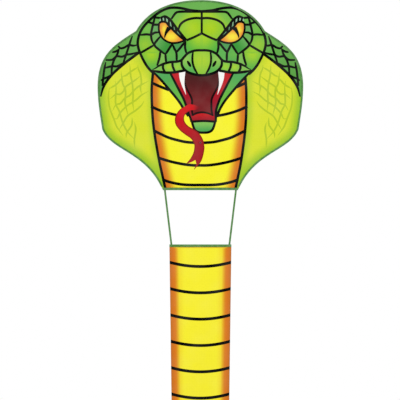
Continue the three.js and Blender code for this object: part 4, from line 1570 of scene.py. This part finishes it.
def make_tail():
    """The tail's cloth in five pieces; the first is attached to the tail's top."""
    points, triangles, colours, piece_number = tail_sheet()
    bodies = ["tail_top", "tail_second", "tail_third", "tail_fourth", "tail_fold"]
    nodes = [*(f"tail_section_{i}" for i in range(1, 5)), "folded_tail"]
    for number, node in enumerate(nodes):
        mine = piece_number == number
        made = cloth_object(f"tail_cloth_{number + 1}", points, triangles[mine], colours[mine], tail_place,
                            TAIL_CLOTH)
        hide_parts(node)
        if number == 0:
            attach(made, bodies[0])
        else:
            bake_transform(made)


make_tail()

# ---------------- tie band

BAND_GAP = 0.45
BAND_THICKNESS = 0.85
BAND_LAP = 0.8
BAND_LAP_HALF_LENGTH = 9
BAND_RIB = 0.12
BAND_RIB_PITCH = 1.25


def band_path():
    """The band's course round the stack, seen from above, with rounded corners."""
    front, back = FOLD_LOW[1], FOLD_HIGH[1]
    wide, narrow = FOLD_HIGH[0], TAIL_END_WIDTH / 2
    corners = np.array([(-wide, front), (wide, front), (narrow, back), (-narrow, back)])
    sides = np.roll(corners, -1, axis=0) - corners
    angles = np.arctan2(sides[:, 1], sides[:, 0])
    course = []
    for corner, before, after in zip(corners, np.roll(angles, 1), angles):
        turns = before - math.pi / 2 + (after - before) % math.tau * np.linspace(0, 1, 7)
        course.append(corner + BAND_GAP * np.stack([np.cos(turns), np.sin(turns)], axis=1))
    return np.vstack([*course, course[0][:1]])


def make_band():
    """A ribbed elastic band with its ends lapped and sewn at the back."""
    course = band_path()
    done = lengths_along(course)
    spots = sampled(course, done, np.arange(0, done[-1], BAND_RIB_PITCH))
    outwards = -turned(unit(np.roll(spots, -1, axis=0) - np.roll(spots, 1, axis=0)))
    low, middle, high = BAND_LOW[2], BAND_MIDDLE_Z, BAND_HIGH[2]
    rings = []
    for number, (spot, outward) in enumerate(zip(spots, outwards)):
        lapped = abs(spot[0]) < BAND_LAP_HALF_LENGTH and spot[1] > STACK_MIDDLE_Y
        edge = BAND_THICKNESS + (BAND_LAP if lapped else 0) - 0.3
        crown = edge + 0.3 + BAND_RIB * (-1) ** number
        section = [(low, 0.25), (low + 0.5, 0), (high - 0.5, 0), (high, 0.25), (high, edge)]
        section += [(z, crown) for z in (high - 0.6, middle + 4, middle, middle - 4, low + 0.6)]
        section.append((low, edge))
        rings.append([(*(spot + outward * depth), z) for z, depth in section])
    seam_y = FOLD_HIGH[1] + BAND_GAP + BAND_THICKNESS + BAND_LAP + 0.07
    zigzag = [(0.8 * (-1) ** i, seam_y, z) for i, z in enumerate(np.linspace(low + 1.5, high - 1.5, 12))]
    seams = [stitch_row(np.array(zigzag) + (x, 0, 0), (0, 1, 0)) for x in (-6, 6)]
    piece("tie_band", "tie_band", "elastic", "tail_tie_band",
          (swept(rings, looped=True), ELASTIC), (joined(seams), THREAD_DARK))


make_band()

# ---------------- stage, light and camera

FLOOR_Z = FOLD_LOW[2] - 30
FLOOR_RADIUS = 600
CAMERA_DISTANCE = 12.0
VIEW_CENTRE = (-1.2, -498.0)
VIEW_SIZE = 1200.0
SENSOR = 36.0


def make_floor():
    rims = ((FLOOR_RADIUS, FLOOR_Z - 6), (FLOOR_RADIUS, FLOOR_Z - 1), (FLOOR_RADIUS - 1, FLOOR_Z))
    vertices, faces = swept([[(x, y, z) for x, y in circle(0, 0, radius, 64)] for radius, z in rims])
    finish = Finish("pale_floor", (240, 240, 238), roughness=0.85, specular=0.1)
    grain = finish.noise(4.0)
    finish.raise_by(grain)
    material = finish.done(grain, 0.05, 0.05)
    add_object("floor", vertices, faces, [material], smooth_faces=np.zeros(len(faces), bool))


def make_lights():
    world = bpy.data.worlds.new("studio")
    bpy.context.scene.world = world
    world.use_nodes = True
    sky = world.node_tree.nodes["Background"]
    sky.inputs["Color"].default_value = (1, 1, 1, 1)
    sky.inputs["Strength"].default_value = 1.0
    lamp = bpy.data.lights.new("key", "SUN")
    lamp.energy = 0.55
    lamp.angle = math.radians(25)
    key = bpy.data.objects.new("key", lamp)
    key.rotation_euler = (math.radians(58), 0, math.radians(-28))
    bpy.context.collection.objects.link(key)


def make_camera():
    lens = bpy.data.cameras.new("camera")
    lens.sensor_width = SENSOR
    lens.lens = SENSOR * CAMERA_DISTANCE / (VIEW_SIZE * MM)
    lens.clip_end = 60
    camera = bpy.data.objects.new("camera", lens)
    camera.location = (VIEW_CENTRE[0] * MM, -CAMERA_DISTANCE, VIEW_CENTRE[1] * MM)
    camera.rotation_euler = (math.pi / 2, 0, 0)
    bpy.context.collection.objects.link(camera)
    bpy.context.scene.camera = camera


make_floor()
make_lights()
make_camera()
bpy.context.scene.view_settings.view_transform = "Standard"
